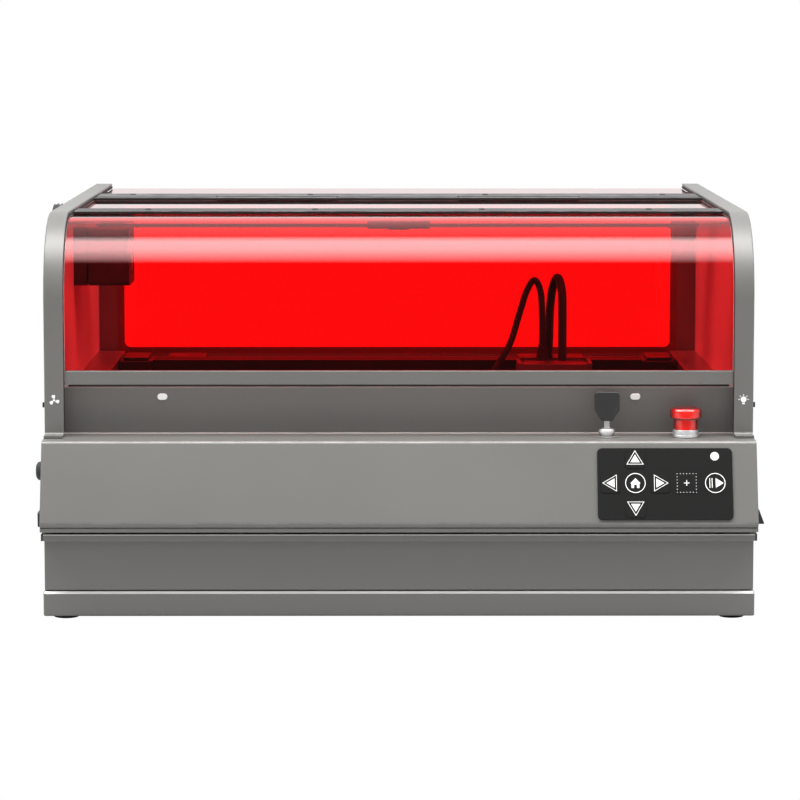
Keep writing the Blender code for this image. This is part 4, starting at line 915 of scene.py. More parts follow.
def make_front_wall():
    """Wall with a folded top between the side panels, a strip of painted highlight at its foot and the seal under
    the hood.
    """
    low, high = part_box("front_wall")
    shape = outline((low.y, low.z), (low.y, high.z, BEND), (high.y, high.z), (high.y, high.z - SHEET),
                    (low.y + SHEET, high.z - SHEET, BEND / 2), (low.y + SHEET, low.z))
    extruded("front_wall_panel", shape, low.x, high.x, "grey_steel", "casing", "front_wall", rim=FINE_RIM)
    shelf = span("console_shell", 2)[1]
    proud = low.y - SHEET / 2
    # painted highlight: a pale strip along the wall's foot
    foot_highlight = outline((proud, shelf + PRINT), (proud, shelf + RIM), (low.y - PRINT, shelf + SHEET / 2),
                   (low.y - PRINT, shelf + PRINT))
    extruded("wall_bead", foot_highlight, low.x, high.x, "grey_steel", "casing", rim=0.0, extra="bright_edge")
    front, back = low.y + FINE_RIM, low.y + BEND + 3 * SHEET
    foot, top = high.z + PRINT, span("lid_bottom_bar", 2)[0] - TOUCH
    seal = outline((front, foot), (front, top, FINE_RIM), (back, top, FINE_RIM), (back, foot))
    extruded("hood_seal", seal, low.x + LIP, high.x - LIP, "grey_steel", "casing", rim=0.0, extra="rubber")


def make_drawer_front():
    """Flat face under a folded finger lip, with a strip of painted highlight along the lip's top edge and a black
    cap on each end.
    """
    low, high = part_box("drawer_front")
    face = low.y + DRAWER_LIP
    under = high.z - DRAWER_LIP_T
    left, right = low.x + END_CAP, high.x - END_CAP
    foot = low.z + FOOT_RAISE
    shape = outline((high.y, foot), (face, foot, RIM), (face, under, FINE_RIM), (low.y, under, RIM),
                    (low.y, high.z - RIM, FINE_RIM), (low.y + RIM, high.z, FINE_RIM), (high.y, high.z))
    extruded("drawer_face", shape, left, right, "grey_steel", "drawer", "drawer_front", rim=FINE_RIM)
    # painted highlight: a pale strip along the lip's top front edge
    lip_highlight = outline((low.y - FINE_RIM / 4, high.z - LIP_HIGHLIGHT), (low.y - FINE_RIM / 4, high.z, RIM),
                   (low.y + LIP_HIGHLIGHT, high.z), (low.y + LIP_HIGHLIGHT, high.z - LIP_HIGHLIGHT))
    extruded("drawer_trim", lip_highlight, left + RIM, right - RIM, "grey_steel", "drawer", rim=0.0,
             extra="bright_edge")
    caps = []
    for x in ((low.x + PRINT, left - PRINT), (right + PRINT, high.x - PRINT)):
        caps.append(skin(rounded_box((x[0], low.y, under), (x[1], high.y - RIM, high.z), RIM, FINE_RIM, 'X')))
    add_piece("drawer_end_caps", caps, "grey_steel", "drawer", extra="black_plastic")


def make_base_pan():
    """Floor pan with a hollow skirt whose bevel carries a strip of painted highlight, and the feet under it."""
    low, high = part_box("base_pan")
    front = span("side_panel_left", 1)[1] - PANEL_DEPTH
    top = span("drawer_tray", 2)[0] - TOUCH
    skirt = outline((front - TOUCH, low.z), (low.y, low.z, BEVEL), (low.y, top - BEVEL), (low.y + BEVEL, top),
                    (front - TOUCH, top))
    parts = [skin(rings_along(skirt, low.x + RIM, high.x - RIM, BEND * 0.9))]
    parts.append(skin(rounded_box((low.x + SHEET, front, low.z), (high.x - SHEET, high.y, low.z + SHEET),
                                  RIM, FINE_RIM)))
    add_piece("pan_shell", parts, "grey_steel", "casing", "base_pan")
    lift = PRINT / 2
    # painted highlight: a pale strip laid on the skirt's bevel
    bevel_highlight = outline((low.y - lift, top - BEVEL), (low.y + BEVEL - lift, top + lift), (low.y + BEVEL, top),
                   (low.y, top - BEVEL - lift))
    extruded("pan_trim", bevel_highlight, low.x + 3 * RIM, high.x - 3 * RIM, "grey_steel", "casing", rim=0.0,
             extra="bright_edge")
    for name in ("front_left", "front_right", "rear_left", "rear_right"):
        node = "foot_" + name
        foot_low, foot_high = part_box(node)
        radius, height = (foot_high.x - foot_low.x) / 2, foot_high.z - foot_low.z
        shape = ((0, height), (radius, height), (radius, height * 0.35, RIM), (radius * 0.86, 0, RIM),
                 (radius * 0.62, 0, FINE_RIM), (radius * 0.58, RIM), (0, RIM))
        turned(node + "_pad", shape, (*middle(node)[:2], foot_low.z), "rubber", "casing", node)


# ---- hood ---------------------------------------------------------------------------------------
def make_hood():
    """The bent acrylic shield, its bottom bar with a groove for the sheet, and the dark strip."""
    low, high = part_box("lid_shield")
    outer = high.z - (span("side_panel_left", 2)[1] - TOP_ROUND)
    bend = outline((low.y, low.z), (low.y, high.z, outer), (high.y, high.z), (high.y, high.z - ACRYLIC),
                   (low.y + ACRYLIC, high.z - ACRYLIC, outer - ACRYLIC), (low.y + ACRYLIC, low.z), fine=6.0)
    extruded("hood_shield", bend, low.x, high.x, "red_acrylic", "hood", "lid_shield", rim=0.0)

    low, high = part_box("lid_bottom_bar")
    left, right = span("lid_shield", 1)[0] - TOUCH, span("lid_shield", 1)[0] + ACRYLIC + TOUCH
    bed = (low.z + high.z) / 2
    bar = outline((low.y, low.z, RIM), (low.y, high.z, RIM), (left, high.z), (left, bed), (right, bed),
                  (right, high.z), (high.y, high.z, RIM), (high.y, low.z, RIM))
    extruded("hood_bar", bar, low.x, high.x, "grey_steel", "hood", "lid_bottom_bar")

    low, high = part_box("lid_cross_rail")
    strip = outline((low.y, low.z, FINE_RIM), (low.y, high.z, BEND / 2), (high.y, high.z, BEND / 2),
                    (high.y, low.z, FINE_RIM))
    extruded("hood_strip", strip, low.x, high.x, "black_aluminium", "hood", "lid_cross_rail")
    screws = [screw(((low.x + high.x) / 2 + x, middle("lid_cross_rail")[1], high.z), 'Z')
              for x in RAIL_SCREWS]
    add_piece("hood_strip_screws", screws, "black_aluminium", "hood", extra="black_plastic", weld=True)


def make_hinge():
    """Piano hinge: two leaves whose knuckles alternate along the pin, each knuckle a tube r = HINGE_R
    with a rounded rim, joined to its leaf by a tangent web."""
    pin = joint_at("hood_hinge")
    left, right = span("hinge_leaf_fixed", 0)
    length = (right - left) / KNUCKLES
    bore = HINGE_R * 0.52
    for node, body, first, sign in (("hinge_leaf_fixed", "casing", 0, 1), ("hinge_leaf_lid", "hood", 1, -1)):
        low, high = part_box(node)
        far = high.y if sign > 0 else low.y
        near = pin[1] + sign * LEAF_GAP[sign]
        y = sorted((near, far))
        parts = [skin(rounded_box((low.x, y[0], high.z - LEAF_T), (high.x, y[1], high.z), BEND, FINE_RIM))]
        for number in range(first, KNUCKLES, 2):
            start, end = left + number * length + RIM, left + (number + 1) * length - RIM
            ring = ((bore, start), (HINGE_R, start, RIM), (HINGE_R, end, RIM), (bore, end))
            parts.append(part_of_lathe(ring, (0, pin[1], pin[2]), 'X', 28, loop=True))
            web = sorted((pin[1], near + sign * LEAF_T))
            parts.append(skin(rounded_box((start + FINE_RIM, web[0], high.z - LEAF_T * 0.8),
                                          (end - FINE_RIM, web[1], high.z - PRINT), FINE_RIM, 0.0)))
        add_piece(node + "_plate", parts, "black_aluminium", body, node)
    low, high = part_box("hinge_leaf_fixed")
    seat = (pin[1] + LEAF_GAP[1] + high.y) / 2
    screws = [screw(((low.x + high.x) / 2 + x, seat, high.z), 'Z') for x in LEAF_SCREWS]
    add_piece("hinge_screws", screws, "black_aluminium", "casing", extra="black_plastic", weld=True)
    low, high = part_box("hinge_pin")
    radius = (high.z - low.z) / 2
    turned("hinge_pin_rod", ((0, low.x), (radius, low.x, RIM), (radius, high.x, RIM), (0, high.x)),
           (0, pin[1], pin[2]), "steel", "casing", "hinge_pin", axis='X', steps=24)


def make_rear():
    """Rear panel as a frame with a round-cornered opening, its window and the roof pane."""
    low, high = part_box("rear_panel")
    glass_low, glass_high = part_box("rear_window")
    hole = rectangle((glass_low.x + WINDOW_LAP, glass_low.z + WINDOW_LAP),
                     (glass_high.x - WINDOW_LAP, glass_high.z - WINDOW_LAP / 2), WINDOW_ROUND)
    edge = rectangle((low.x, low.z), (high.x, high.z), WINDOW_ROUND)
    rings = []
    for shape, y in ((edge, low.y), (edge, high.y), (hole, high.y), (hole, low.y)):
        rings.append(np.column_stack([shape[:, 0], np.full(len(shape), y), shape[:, 1], shape[:, 2]]))
    add_piece("rear_frame", [skin(np.array(rings), loop=True)], "grey_steel", "casing", "rear_panel")
    for node, name, axis in (("rear_window", "rear_pane", 'Y'), ("roof_panel", "roof_pane", 'Z')):
        low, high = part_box(node)
        add_piece(name, [skin(rounded_box(low, high, BEND, FINE_RIM, axis))], "red_acrylic", "casing", node)
    seat = span("rear_panel", 1)[1] - SCREW_R * 0.35
    screws = [screw((x, seat, z), 'Y', SCREW_R * 0.8, 16)
              for x in np.linspace(glass_low.x + 0.02, glass_high.x - 0.02, 6)
              for z in (glass_low.z + WINDOW_LAP / 2, glass_high.z - WINDOW_LAP / 3)]
    add_piece("rear_screws", screws, "steel", "casing", weld=True)


# ---- controls -----------------------------------------------------------------------------------
def key_face(name):
    """Centre of a key's outer face, and its size."""
    length, thick = plate_size(name)
    return middle(name) + OUT * thick / 2, length


def framed(shape, line, height):
    """Rings of a flat line that follows a closed outline, line wide and height thick."""
    inner = inset(shape, line)
    stack = [(shape, 0.0), (shape, height), (inner, height), (inner, 0.0)]
    return np.array([np.column_stack([s[:, :2], np.full(len(s), h), 0 * s[:, 0]]) for s, h in stack])


def flat_mark(shape, height):
    """Rings of a solid flat mark."""
    return rings_along(shape, 0.0, height, axis='Z')


def triangle(size, turn):
    """Triangle with its point at an angle, as corners of an outline."""
    angles = turn + np.radians([0, 125, 235])
    reach = size * np.array([0.5, 0.62, 0.62])
    return outline(*[(r * math.cos(a), r * math.sin(a)) for r, a in zip(reach, angles)])


def arrow_icon(size, turn):
    """A triangle inside the line of a larger one."""
    shape = triangle(size * 0.84, math.radians(turn))
    return [skin(framed(shape, ICON_LINE * 0.75, PRINT), loop=True),
            skin(flat_mark(inset(shape, 2.9 * ICON_LINE), PRINT))]


def home_icon(size):
    """A house with a door, as one outline, in half widths of the house."""
    w = size * 0.245
    corners = ((-1, 0.1), (0, -1), (1, 0.1), (0.78, 0.1), (0.78, 1), (0.28, 1), (0.28, 0.35),
               (-0.28, 0.35), (-0.28, 1), (-0.78, 1), (-0.78, 0.1))
    return [skin(flat_mark(outline(*[(w * a, w * b) for a, b in corners]), PRINT))]


def start_icon(size):
    """Two bars and a triangle."""
    h = size * 0.24
    shapes = [outline((0.02 * size, -h), (0.02 * size + 1.6 * h, 0), (0.02 * size, h))]
    for x in (-0.28 * size, -0.17 * size):
        shapes.append(outline((x, -h), (x + ICON_LINE, -h), (x + ICON_LINE, h), (x, h)))
    return [skin(flat_mark(shape, PRINT)) for shape in shapes]


def frame_icon(size):
    """A square of dots round a cross."""
    half = size * 0.47
    dots = []
    for k in np.linspace(-half, half, FRAME_DOTS):
        for spot in sorted({(k, -half), (k, half), (-half, k), (half, k)}):
            dots.append(skin(flat_mark(circle(ICON_LINE * 0.52, 10, spot), PRINT)))
    arms = []
    for a, b in ((CROSS_ARM, ICON_LINE / 2), (ICON_LINE / 2, CROSS_ARM)):
        arms.append(skin(flat_mark(outline((-a, -b), (a, -b), (a, b), (-a, b)), PRINT)))
    return dots + arms


def icon_parts(name, size):
    """The printed sign on each key, as skins in (across, down, height)."""
    if name in ARROW_TURN:
        return arrow_icon(size, ARROW_TURN[name])
    if name == "key_frame":
        return frame_icon(size)
    ring = skin(framed(circle(size * 0.49), ICON_LINE, PRINT), loop=True)
    return [ring] + (home_icon(size) if name == "key_home" else start_icon(size))


def make_keys():
    """Square and round caps on the slope, each with its sign."""
    for name, body in KEYS.items():
        face, size = key_face(name)
        _, thick = plate_size(name)
        half = size / 2
        shape = circle(half) if name in ROUND_KEYS else rectangle((-half, -half), (half, half), KEY_ROUND)
        add_piece(name + "_cap", [skin(rings_along(shape, -thick, 0, FINE_RIM, 'Z'))], "keypad", body, name,
                  place=slope_place(face))
        add_piece(name + "_mark", icon_parts(name, size), "keypad", body, extra="white_print",
                  place=slope_place(face + OUT * PRINT / 8))


def make_keypad():
    """The dark plate that the keys stand in, and the status dot over the start key."""
    low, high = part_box("keypad_plate")
    length, thick = plate_size("keypad_plate")
    half_x, half_y = (high.x - low.x) / 2, length / 2
    centre = middle("keypad_plate")
    plate = rectangle((-half_x, -half_y), (half_x, half_y), PLATE_ROUND)
    add_piece("keypad_cover", [skin(rings_along(plate, -thick / 2, thick / 2 - WELL, FINE_RIM, 'Z'))],
              "keypad", "casing", "keypad_plate", place=slope_place(centre))
    spot = centre + np.array([middle("key_start")[0] - centre[0], 0, 0]) - DOWN * DOT_UP
    add_piece("status_dot", [skin(rings_along(circle(DOT_R, 28), 0.0, PRINT, 0.0, 'Z'))], "keypad", "casing",
              extra="white_print", place=slope_place(spot + OUT * (thick / 2 - WELL)))


# ---- stop button and key ------------------------------------------------------------------------
def make_stop_button():
    """Mushroom head over a neck, turned, in a chromed ring."""
    low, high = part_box("estop_button")
    seat = span("estop_ring", 2)[0]
    x, y, _ = middle("estop_button")
    head, top = (high.x - low.x) / 2, high.z - seat
    neck, stem = head * 0.764, head * 0.51
    ring_top = span("estop_ring", 2)[1] - seat
    shape = ((0, top), (head * 0.55, top - 0.0002, 0.003), (head * 0.66, top - 0.0008, 0.0006),
             (head * 0.72, top - 0.0003, 0.0006), (head * 0.9, top - 0.0007, 0.0016),
             (head, top - 0.0026, 0.0016), (head, top - 0.0078, 0.0014), (head * 0.9, top - 0.0091, 0.0012),
             (neck, top - 0.0094, 0.0004), (neck, ring_top * 0.82, FINE_RIM), (stem, ring_top * 0.8),
             (stem, low.z - seat), (0, low.z - seat))
    turned("stop_head", shape, (x, y, seat), "red_plastic", "stop_button", "estop_button", steps=72)
    low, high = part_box("estop_ring")
    outer, height = (high.x - low.x) / 2, high.z - low.z
    inner, waist = outer * 0.928, outer * 0.975
    ring = ((inner, 0), (outer, 0, FINE_RIM), (outer, height * 0.28, FINE_RIM), (waist, height * 0.34),
            (waist, height, FINE_RIM), (inner, height, FINE_RIM))
    turned("stop_ring", ring, (x, y, seat), "chrome", "casing", "estop_ring", steps=72, loop=True)


def make_key():
    """Lock with a domed ring and a slotted plug; the key's moulded head over its steel blade."""
    low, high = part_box("key_lock")
    x, y, _ = middle("key_lock")
    flange = (high.x - low.x) / 2
    seat = span("estop_ring", 2)[0]
    rise = high.z - seat
    ring = ((flange * 0.47, rise, FINE_RIM), (flange * 0.56, rise, 0.0012),
            (flange * 0.66, rise * 0.58, 0.0018), (flange * 0.5, 0.0008, 0.0004),
            (flange * 0.5, -SHEET / 2), (flange * 0.762, -SHEET / 2),
            (flange * 0.762, low.z - seat), (flange * 0.47, low.z - seat))
    turned("lock_ring", ring, (x, y, seat), "chrome", "casing", "key_lock", loop=True)
    collar = ((flange * 0.51, 0.0007, FINE_RIM), (flange * 0.92, 0.0006, FINE_RIM), (flange, 0, PRINT),
              (flange * 0.51, 0))
    turned("lock_flange", collar, (x, y, seat), "chrome", "casing", loop=True, extra="grey_steel")
    low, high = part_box("key_plug")
    rim = circle((high.x - low.x) / 2, 40)
    bearing = np.arctan2(rim[:, 1], rim[:, 0])
    reach = np.minimum(KEYWAY[0] / np.maximum(np.abs(np.cos(bearing)), 1e-6),
                       KEYWAY[1] / np.maximum(np.abs(np.sin(bearing)), 1e-6))
    way = np.column_stack([reach * np.cos(bearing), reach * np.sin(bearing)])
    levels = [(rim, low.z), (rim, high.z), (way, high.z), (way, high.z - KEYWAY_DEPTH)]
    rings = [np.column_stack([x + face[:, 0], y + face[:, 1], np.full(len(face), z), 0 * face[:, 0]])
             for face, z in levels]
    add_piece("lock_plug", [skin(np.array(rings))], "steel", "lock_key", "key_plug")
    low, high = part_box("key")
    half, thick = (high.x - low.x) / 2, (high.y - low.y) / 2
    foot = seat + BLADE_TOP
    top = high.z - 0.0016
    shape = outline((x - BLADE_HALF * 2, foot, 0.0008), (x + BLADE_HALF * 2, foot, 0.0008),
                    (x + half, foot + SHOULDER, 0.003), (x + half, top, 0.003), (x - half, top, 0.003),
                    (x - half, foot + SHOULDER, 0.003))
    extruded("key_head", shape, y - thick, y + thick, "black_plastic", "lock_key", "key", rim=0.0008,
             axis='Y')
    blade = outline((x - BLADE_HALF, low.z, 0.0006), (x + BLADE_HALF, low.z, 0.0006), (x + BLADE_HALF, foot),
                    (x - BLADE_HALF, foot))
    extruded("key_blade", blade, y - KEYWAY[1] * 0.7, y + KEYWAY[1] * 0.7, "black_plastic", "lock_key",
             rim=FINE_RIM, axis='Y', extra="bright_steel")


# ---- lenses, signs and side controls ------------------------------------------------------------
def make_lenses():
    """Two obround lenses that stand a little proud of the front wall."""
    low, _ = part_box("front_wall")
    half, tall = LENS_SIZE[0] / 2, LENS_SIZE[1] / 2
    lenses = []
    for x in (middle("front_wall")[0] - LENS_X, middle("front_wall")[0] + LENS_X):
        shape = rectangle((x - half, LENS_Z - tall), (x + half, LENS_Z + tall), tall - PRINT)
        lenses.append(skin(rings_along(shape, low.y - LENS_PROUD, low.y + PRINT, FINE_RIM, 'Y')))
    add_piece("status_lenses", lenses, "grey_steel", "casing", extra="status_lens")


def spoke(centre, degrees, corners):
    """Outline c + r (a tip + b across) of corners (a, b), where tip points away at an angle."""
    turn = math.radians(degrees)
    tip = np.array([math.cos(turn), math.sin(turn)])
    across = np.array([-tip[1], tip[0]])
    return outline(*[tuple(centre + tip * SIGN_R * a + across * SIGN_R * b) for a, b in corners])


def fan_sign(x, z):
    """A hub and three swept blades."""
    blade = ((0.3, -0.12), (0.95, -0.2), (1.0, 0.35), (0.62, 0.5), (0.3, 0.12))
    blades = [spoke(np.array([x, z]), 90 + 120 * k, blade) for k in range(3)]
    return [circle(SIGN_R * 0.22, 16, (x, z))] + blades


def lamp_sign(x, z):
    """A bulb over its cap, and five rays."""
    bulb = np.array([x, z + SIGN_R * 0.12])
    ray = ((0.72, -0.07), (1.0, -0.07), (1.0, 0.07), (0.72, 0.07))
    cap = ((-0.24, -0.78), (0.24, -0.78), (0.24, -0.5), (-0.24, -0.5))
    cap = outline(*[(x + a * SIGN_R, z + b * SIGN_R) for a, b in cap])
    return [circle(SIGN_R * 0.55, 24, bulb)] + [spoke(bulb, 45 * k, ray) for k in range(5)] + [cap]


def make_signs():
    """A fan and a lamp, printed over the slide switches on the lips of the side panels."""
    front = span("side_panel_left", 1)[1] - PANEL_DEPTH
    left, right = span("side_panel_left", 0)[0], span("side_panel_right", 0)[1]
    for name, sign, node, x in (("fan_sign", fan_sign, "fan_switch", left + LIP * 0.52),
                                ("lamp_sign", lamp_sign, "light_switch", right - LIP * 0.52)):
        shapes = sign(x, middle(node)[2] + SIGN_UP)
        marks = [skin(rings_along(shape, front - PRINT, front - PRINT / 8, 0.0, 'Y')) for shape in shapes]
        add_piece(name, marks, "grey_steel", "casing", extra="white_print")


def make_switches():
    """The rocker's wedge, and the ridged tabs of the two slide switches."""
    low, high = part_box("power_rocker")
    wall = span("side_panel_right", 0)[1]
    shape = outline((low.x, low.z), (high.x, low.z, RIM), (wall + 0.0021, high.z, RIM), (low.x, high.z))
    extruded("rocker_wedge", shape, low.y, high.y, "black_plastic", "rocker", "power_rocker", axis='Y')
    for node, body in (("fan_switch", "fan_slider"), ("light_switch", "light_slider")):
        low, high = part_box(node)
        parts = [skin(rounded_box(low, high, RIM, FINE_RIM, 'X'))]
        outer, inward = (low.x, 1) if low.x < 0 else (high.x, -1)
        x = sorted((outer, outer + inward * 0.0016))
        for k in range(3):
            z = low.z + (k + 1) * (high.z - low.z) / 4
            parts.append(skin(rounded_box((x[0] - 0.0001, low.y + RIM, z - 0.0002),
                                          (x[1], high.y - RIM, z + 0.0002), 0.0001, 0.0)))
        add_piece(node + "_tab", parts, "black_plastic", body, node)


def make_air_knob():
    """A turned dial whose rim dips by 3.5 % in a square wave round it."""
    low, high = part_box("air_knob")
    _, y, z = middle("air_knob")
    wall = span("side_panel_left", 0)[0]
    radius, proud = (high.y - low.y) / 2, wall - low.x
    steps = 96
    corners = outline((0, proud), (radius * 0.62, proud, 0.0008), (radius * 0.9, proud * 0.72, 0.001),
                      (radius, 0.0005, FINE_RIM), (radius, TOUCH), (radius * 0.39, TOUCH),
                      (radius * 0.39, wall - high.x), (0, wall - high.x), fine=15.0)
    rings = lathe_rings(corners, (wall, y, z), '-X', steps)
    grip = (corners[:, 0] > radius * 0.8)[:, None]
    wave = 1 - 0.035 * grip * (np.cos(np.arange(steps) * 2 * np.pi / steps * GRIP_TEETH)[None, :] > 0)
    rings[..., 1] = y + (rings[..., 1] - y) * wave
    rings[..., 2] = z + (rings[..., 2] - z) * wave
    add_piece("air_knob_cap", [skin(rings)], "black_plastic", "air_dial", "air_knob", weld=True)


def make_inlet():
    """Socket shell: rectangle rings that step out over the wall's opening and back in to its floor."""
    low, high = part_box("power_inlet")
    wall = span("side_panel_left", 0)[0] - TOUCH
    faces = []
    for x, grow, corner in ((high.x, -INLET_LAP, 0.002), (wall, -INLET_LAP, 0.002), (wall, 0, 0.002),
                            (low.x + RIM, 0, 0.002), (low.x, -RIM, 0.002 - RIM), (low.x, -INLET_WALL, 0.001),
                            (high.x - SHEET, -INLET_WALL - INLET_LAP, 0.001)):
        shape = rectangle((low.y - grow, low.z - grow), (high.y + grow, high.z + grow), corner)
        faces.append(np.column_stack([np.full(len(shape), x), shape]))
    add_piece("inlet_socket", [skin(np.array(faces))], "black_plastic", "casing", "power_inlet")
    centre = middle("power_inlet")
    pins = [skin(rounded_box((low.x + 0.003, centre[1] + dy - 0.0005, centre[2] + dz - 0.001),
                             (high.x - SHEET, centre[1] + dy + 0.0005, centre[2] + dz + 0.001),
                             FINE_RIM, FINE_RIM, 'X'))
            for dy, dz in ((-0.005, -0.0008), (0.0, 0.0008), (0.005, -0.0008))]
    add_piece("inlet_pins", pins, "black_plastic", "casing", extra="steel")


# ---- inside -------------------------------------------------------------------------------------
def make_tray():
    """Folded tray with turned-out sides, its ends and the two ribs under the bed."""
    low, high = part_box("drawer_tray")
    shelf = span("drawer_runner_left", 2)[1] + TOUCH
    wall = TRAY_T
    x0, x1 = low.x + TRAY_FLANGE, high.x - TRAY_FLANGE
    floor = low.z + wall
    shape = outline((x0, high.z, FINE_RIM), (x0, shelf + wall, FINE_RIM), (low.x, shelf + wall, FINE_RIM),
                    (low.x, shelf, FINE_RIM), (x0, shelf, FINE_RIM), (x0, low.z, BEND), (x1, low.z, BEND),
                    (x1, shelf, FINE_RIM), (high.x, shelf, FINE_RIM), (high.x, shelf + wall, FINE_RIM),
                    (x1, shelf + wall, FINE_RIM), (x1, high.z, FINE_RIM), (x1 - wall, high.z, FINE_RIM),
                    (x1 - wall, floor, BEND / 2), (x0 + wall, floor, BEND / 2), (x0 + wall, high.z, FINE_RIM))
    parts = [skin(rings_along(shape, low.y + wall, high.y - wall, 0.0, 'Y'))]
    for y in ((low.y, low.y + wall), (high.y - wall, high.y)):
        parts.append(box_part((x0, x1), y, (low.z, high.z), BEND, FINE_RIM, 'Y'))
    bed = span("honeycomb_bed", 2)[0] - TOUCH
    for y in (low.y + 0.03, high.y - 0.03 - TRAY_RIB):
        parts.append(box_part((x0 + 0.0055, x1 - 0.0055), (y, y + TRAY_RIB), (floor, bed), RIM))
    add_piece("tray", parts, "steel", "drawer", "drawer_tray")


def make_runners():
    """Bars with a guide groove along their inner side."""
    for node in ("drawer_runner_left", "drawer_runner_right"):
        low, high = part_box(node)
        mid = (low.z + high.z) / 2
        inward, outer = (low.x, high.x) if low.x > 0 else (high.x, low.x)
        step = 0.3 * (outer - inward)
        rail = outline((inward, low.z, FINE_RIM), (outer, low.z, FINE_RIM), (outer, high.z, FINE_RIM),
                       (inward, high.z, FINE_RIM), (inward, mid + 0.003, FINE_RIM),
                       (inward + step, mid + 0.0015), (inward + step, mid - 0.0015),
                       (inward, mid - 0.003, FINE_RIM))
        extruded(node + "_rail", rail, low.y, high.y, "steel", "casing", node, rim=FINE_RIM, axis='Y')


def make_bed():
    """A frame of four bars round a field of open hexagonal cells."""
    low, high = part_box("honeycomb_bed")
    wide = BED_FRAME
    bars = [box_part((low.x, high.x), y, (low.z, high.z), RIM)
            for y in ((low.y, low.y + wide), (high.y - wide, high.y))]
    bars += [box_part(x, (low.y + wide, high.y - wide), (low.z, high.z), RIM)
             for x in ((low.x, low.x + wide), (high.x - wide, high.x))]
    add_piece("bed_frame", bars, "aluminium", "drawer", "honeycomb_bed")
    cells = honeycomb((low.x + wide, low.y + wide), (high.x - wide, high.y - wide), low.z + 0.001,
                      high.z - 0.0004)
    add_piece("bed_cells", [cells], "aluminium", "drawer", sharp=25.0)


def honeycomb(low, high, bottom, top):
    """Hexagonal cells, each a hexagon with a smaller one cut through it. Neighbours share the outer
    hexagon's corners c + r (cos(60 k + 30), sin(60 k + 30)); only edges of one cell get an outer wall."""
    radius = CELL / math.sqrt(3)
    columns = int((high[0] - low[0]) / CELL - 0.5)
    rows = int((high[1] - low[1] - 2 * radius) / (1.5 * radius)) + 1
    start_x = (low[0] + high[0] - (columns - 0.5) * CELL) / 2
    start_y = (low[1] + high[1] - (rows - 1) * 1.5 * radius) / 2
    column, row = np.meshgrid(np.arange(columns), np.arange(rows))
    centres = np.stack([start_x + (column + 0.5 * (row % 2)) * CELL, start_y + row * 1.5 * radius], -1)
    centres = centres.reshape(-1, 2)
    angle = np.radians(60 * np.arange(6) + 30)
    ring = np.stack([np.cos(angle), np.sin(angle)], 1)
    outer = centres[:, None] + radius * ring
    inner = centres[:, None] + (radius - CELL_WALL / 2) * ring
    keys = np.round(outer.reshape(-1, 2) * 1e6).astype(np.int64)
    order = {}
    index = np.array([order.setdefault(tuple((k + 2) // 5), len(order)) for k in keys]).reshape(-1, 6)
    shared = np.zeros((len(order), 2))
    shared[index.ravel()] = outer.reshape(-1, 2)
    count, cells = len(shared), len(centres)
    flat = np.vstack([shared, shared, inner.reshape(-1, 2), inner.reshape(-1, 2)])
    level = np.concatenate([np.full(count, bottom), np.full(count, top), np.full(cells * 6, bottom),
                            np.full(cells * 6, top)])
    after = np.roll(index, -1, 1)
    own = np.arange(cells * 6).reshape(-1, 6)
    own_after = np.roll(own, -1, 1)
    low_in, high_in = 2 * count, 2 * count + cells * 6
    groups = [np.stack([index + count, after + count, own_after + high_in, own + high_in], -1),
              np.stack([after, index, own + low_in, own_after + low_in], -1),
              np.stack([own_after + low_in, own + low_in, own + high_in, own_after + high_in], -1)]
    ahead = index.ravel() * count + after.ravel()
    back = after.ravel() * count + index.ravel()
    alone = ~np.isin(ahead, back)
    a, b = index.ravel()[alone], after.ravel()[alone]
    groups.append(np.stack([a, b, b + count, a + count], -1))
    faces = [list(map(int, face)) for group in groups for face in group.reshape(-1, 4)]
    return np.column_stack([flat, level]), faces, np.zeros(len(flat))


def make_rails():
    """Rails with a guide groove, and a bearing for the shaft hung from the back of each."""
    shaft = middle("y_drive_shaft")
    for node in ("y_rail_left", "y_rail_right"):
        low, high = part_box(node)
        foot = high.z - RAIL_H
        inner, outer = (high.x - RAIL_IN, low.x) if low.x < 0 else (low.x + RAIL_IN, high.x)
        mid = foot + RAIL_H / 2
        deep = 0.3 * (outer - inner)
        shape = outline((inner, foot, RIM), (outer, foot, RIM), (outer, high.z, RIM), (inner, high.z, RIM),
                        (inner, mid + 0.0035, RIM / 2), (inner + deep, mid + 0.002),
                        (inner + deep, mid - 0.002), (inner, mid - 0.0035, RIM / 2))
        ring = ((0.0034, low.x), (PULLEY_R, low.x, RIM), (PULLEY_R, high.x, RIM), (0.0034, high.x))
        parts = [skin(rings_along(shape, low.y, high.y, FINE_RIM, 'Y')),
                 part_of_lathe(ring, (0, shaft[1], shaft[2]), 'X', 32, loop=True),
                 box_part((low.x, high.x), (shaft[1] - 0.0055, shaft[1] + 0.0055),
                          (shaft[2] + 0.0045, foot + RIM))]
        add_piece(node + "_profile", parts, "aluminium", "casing", node)


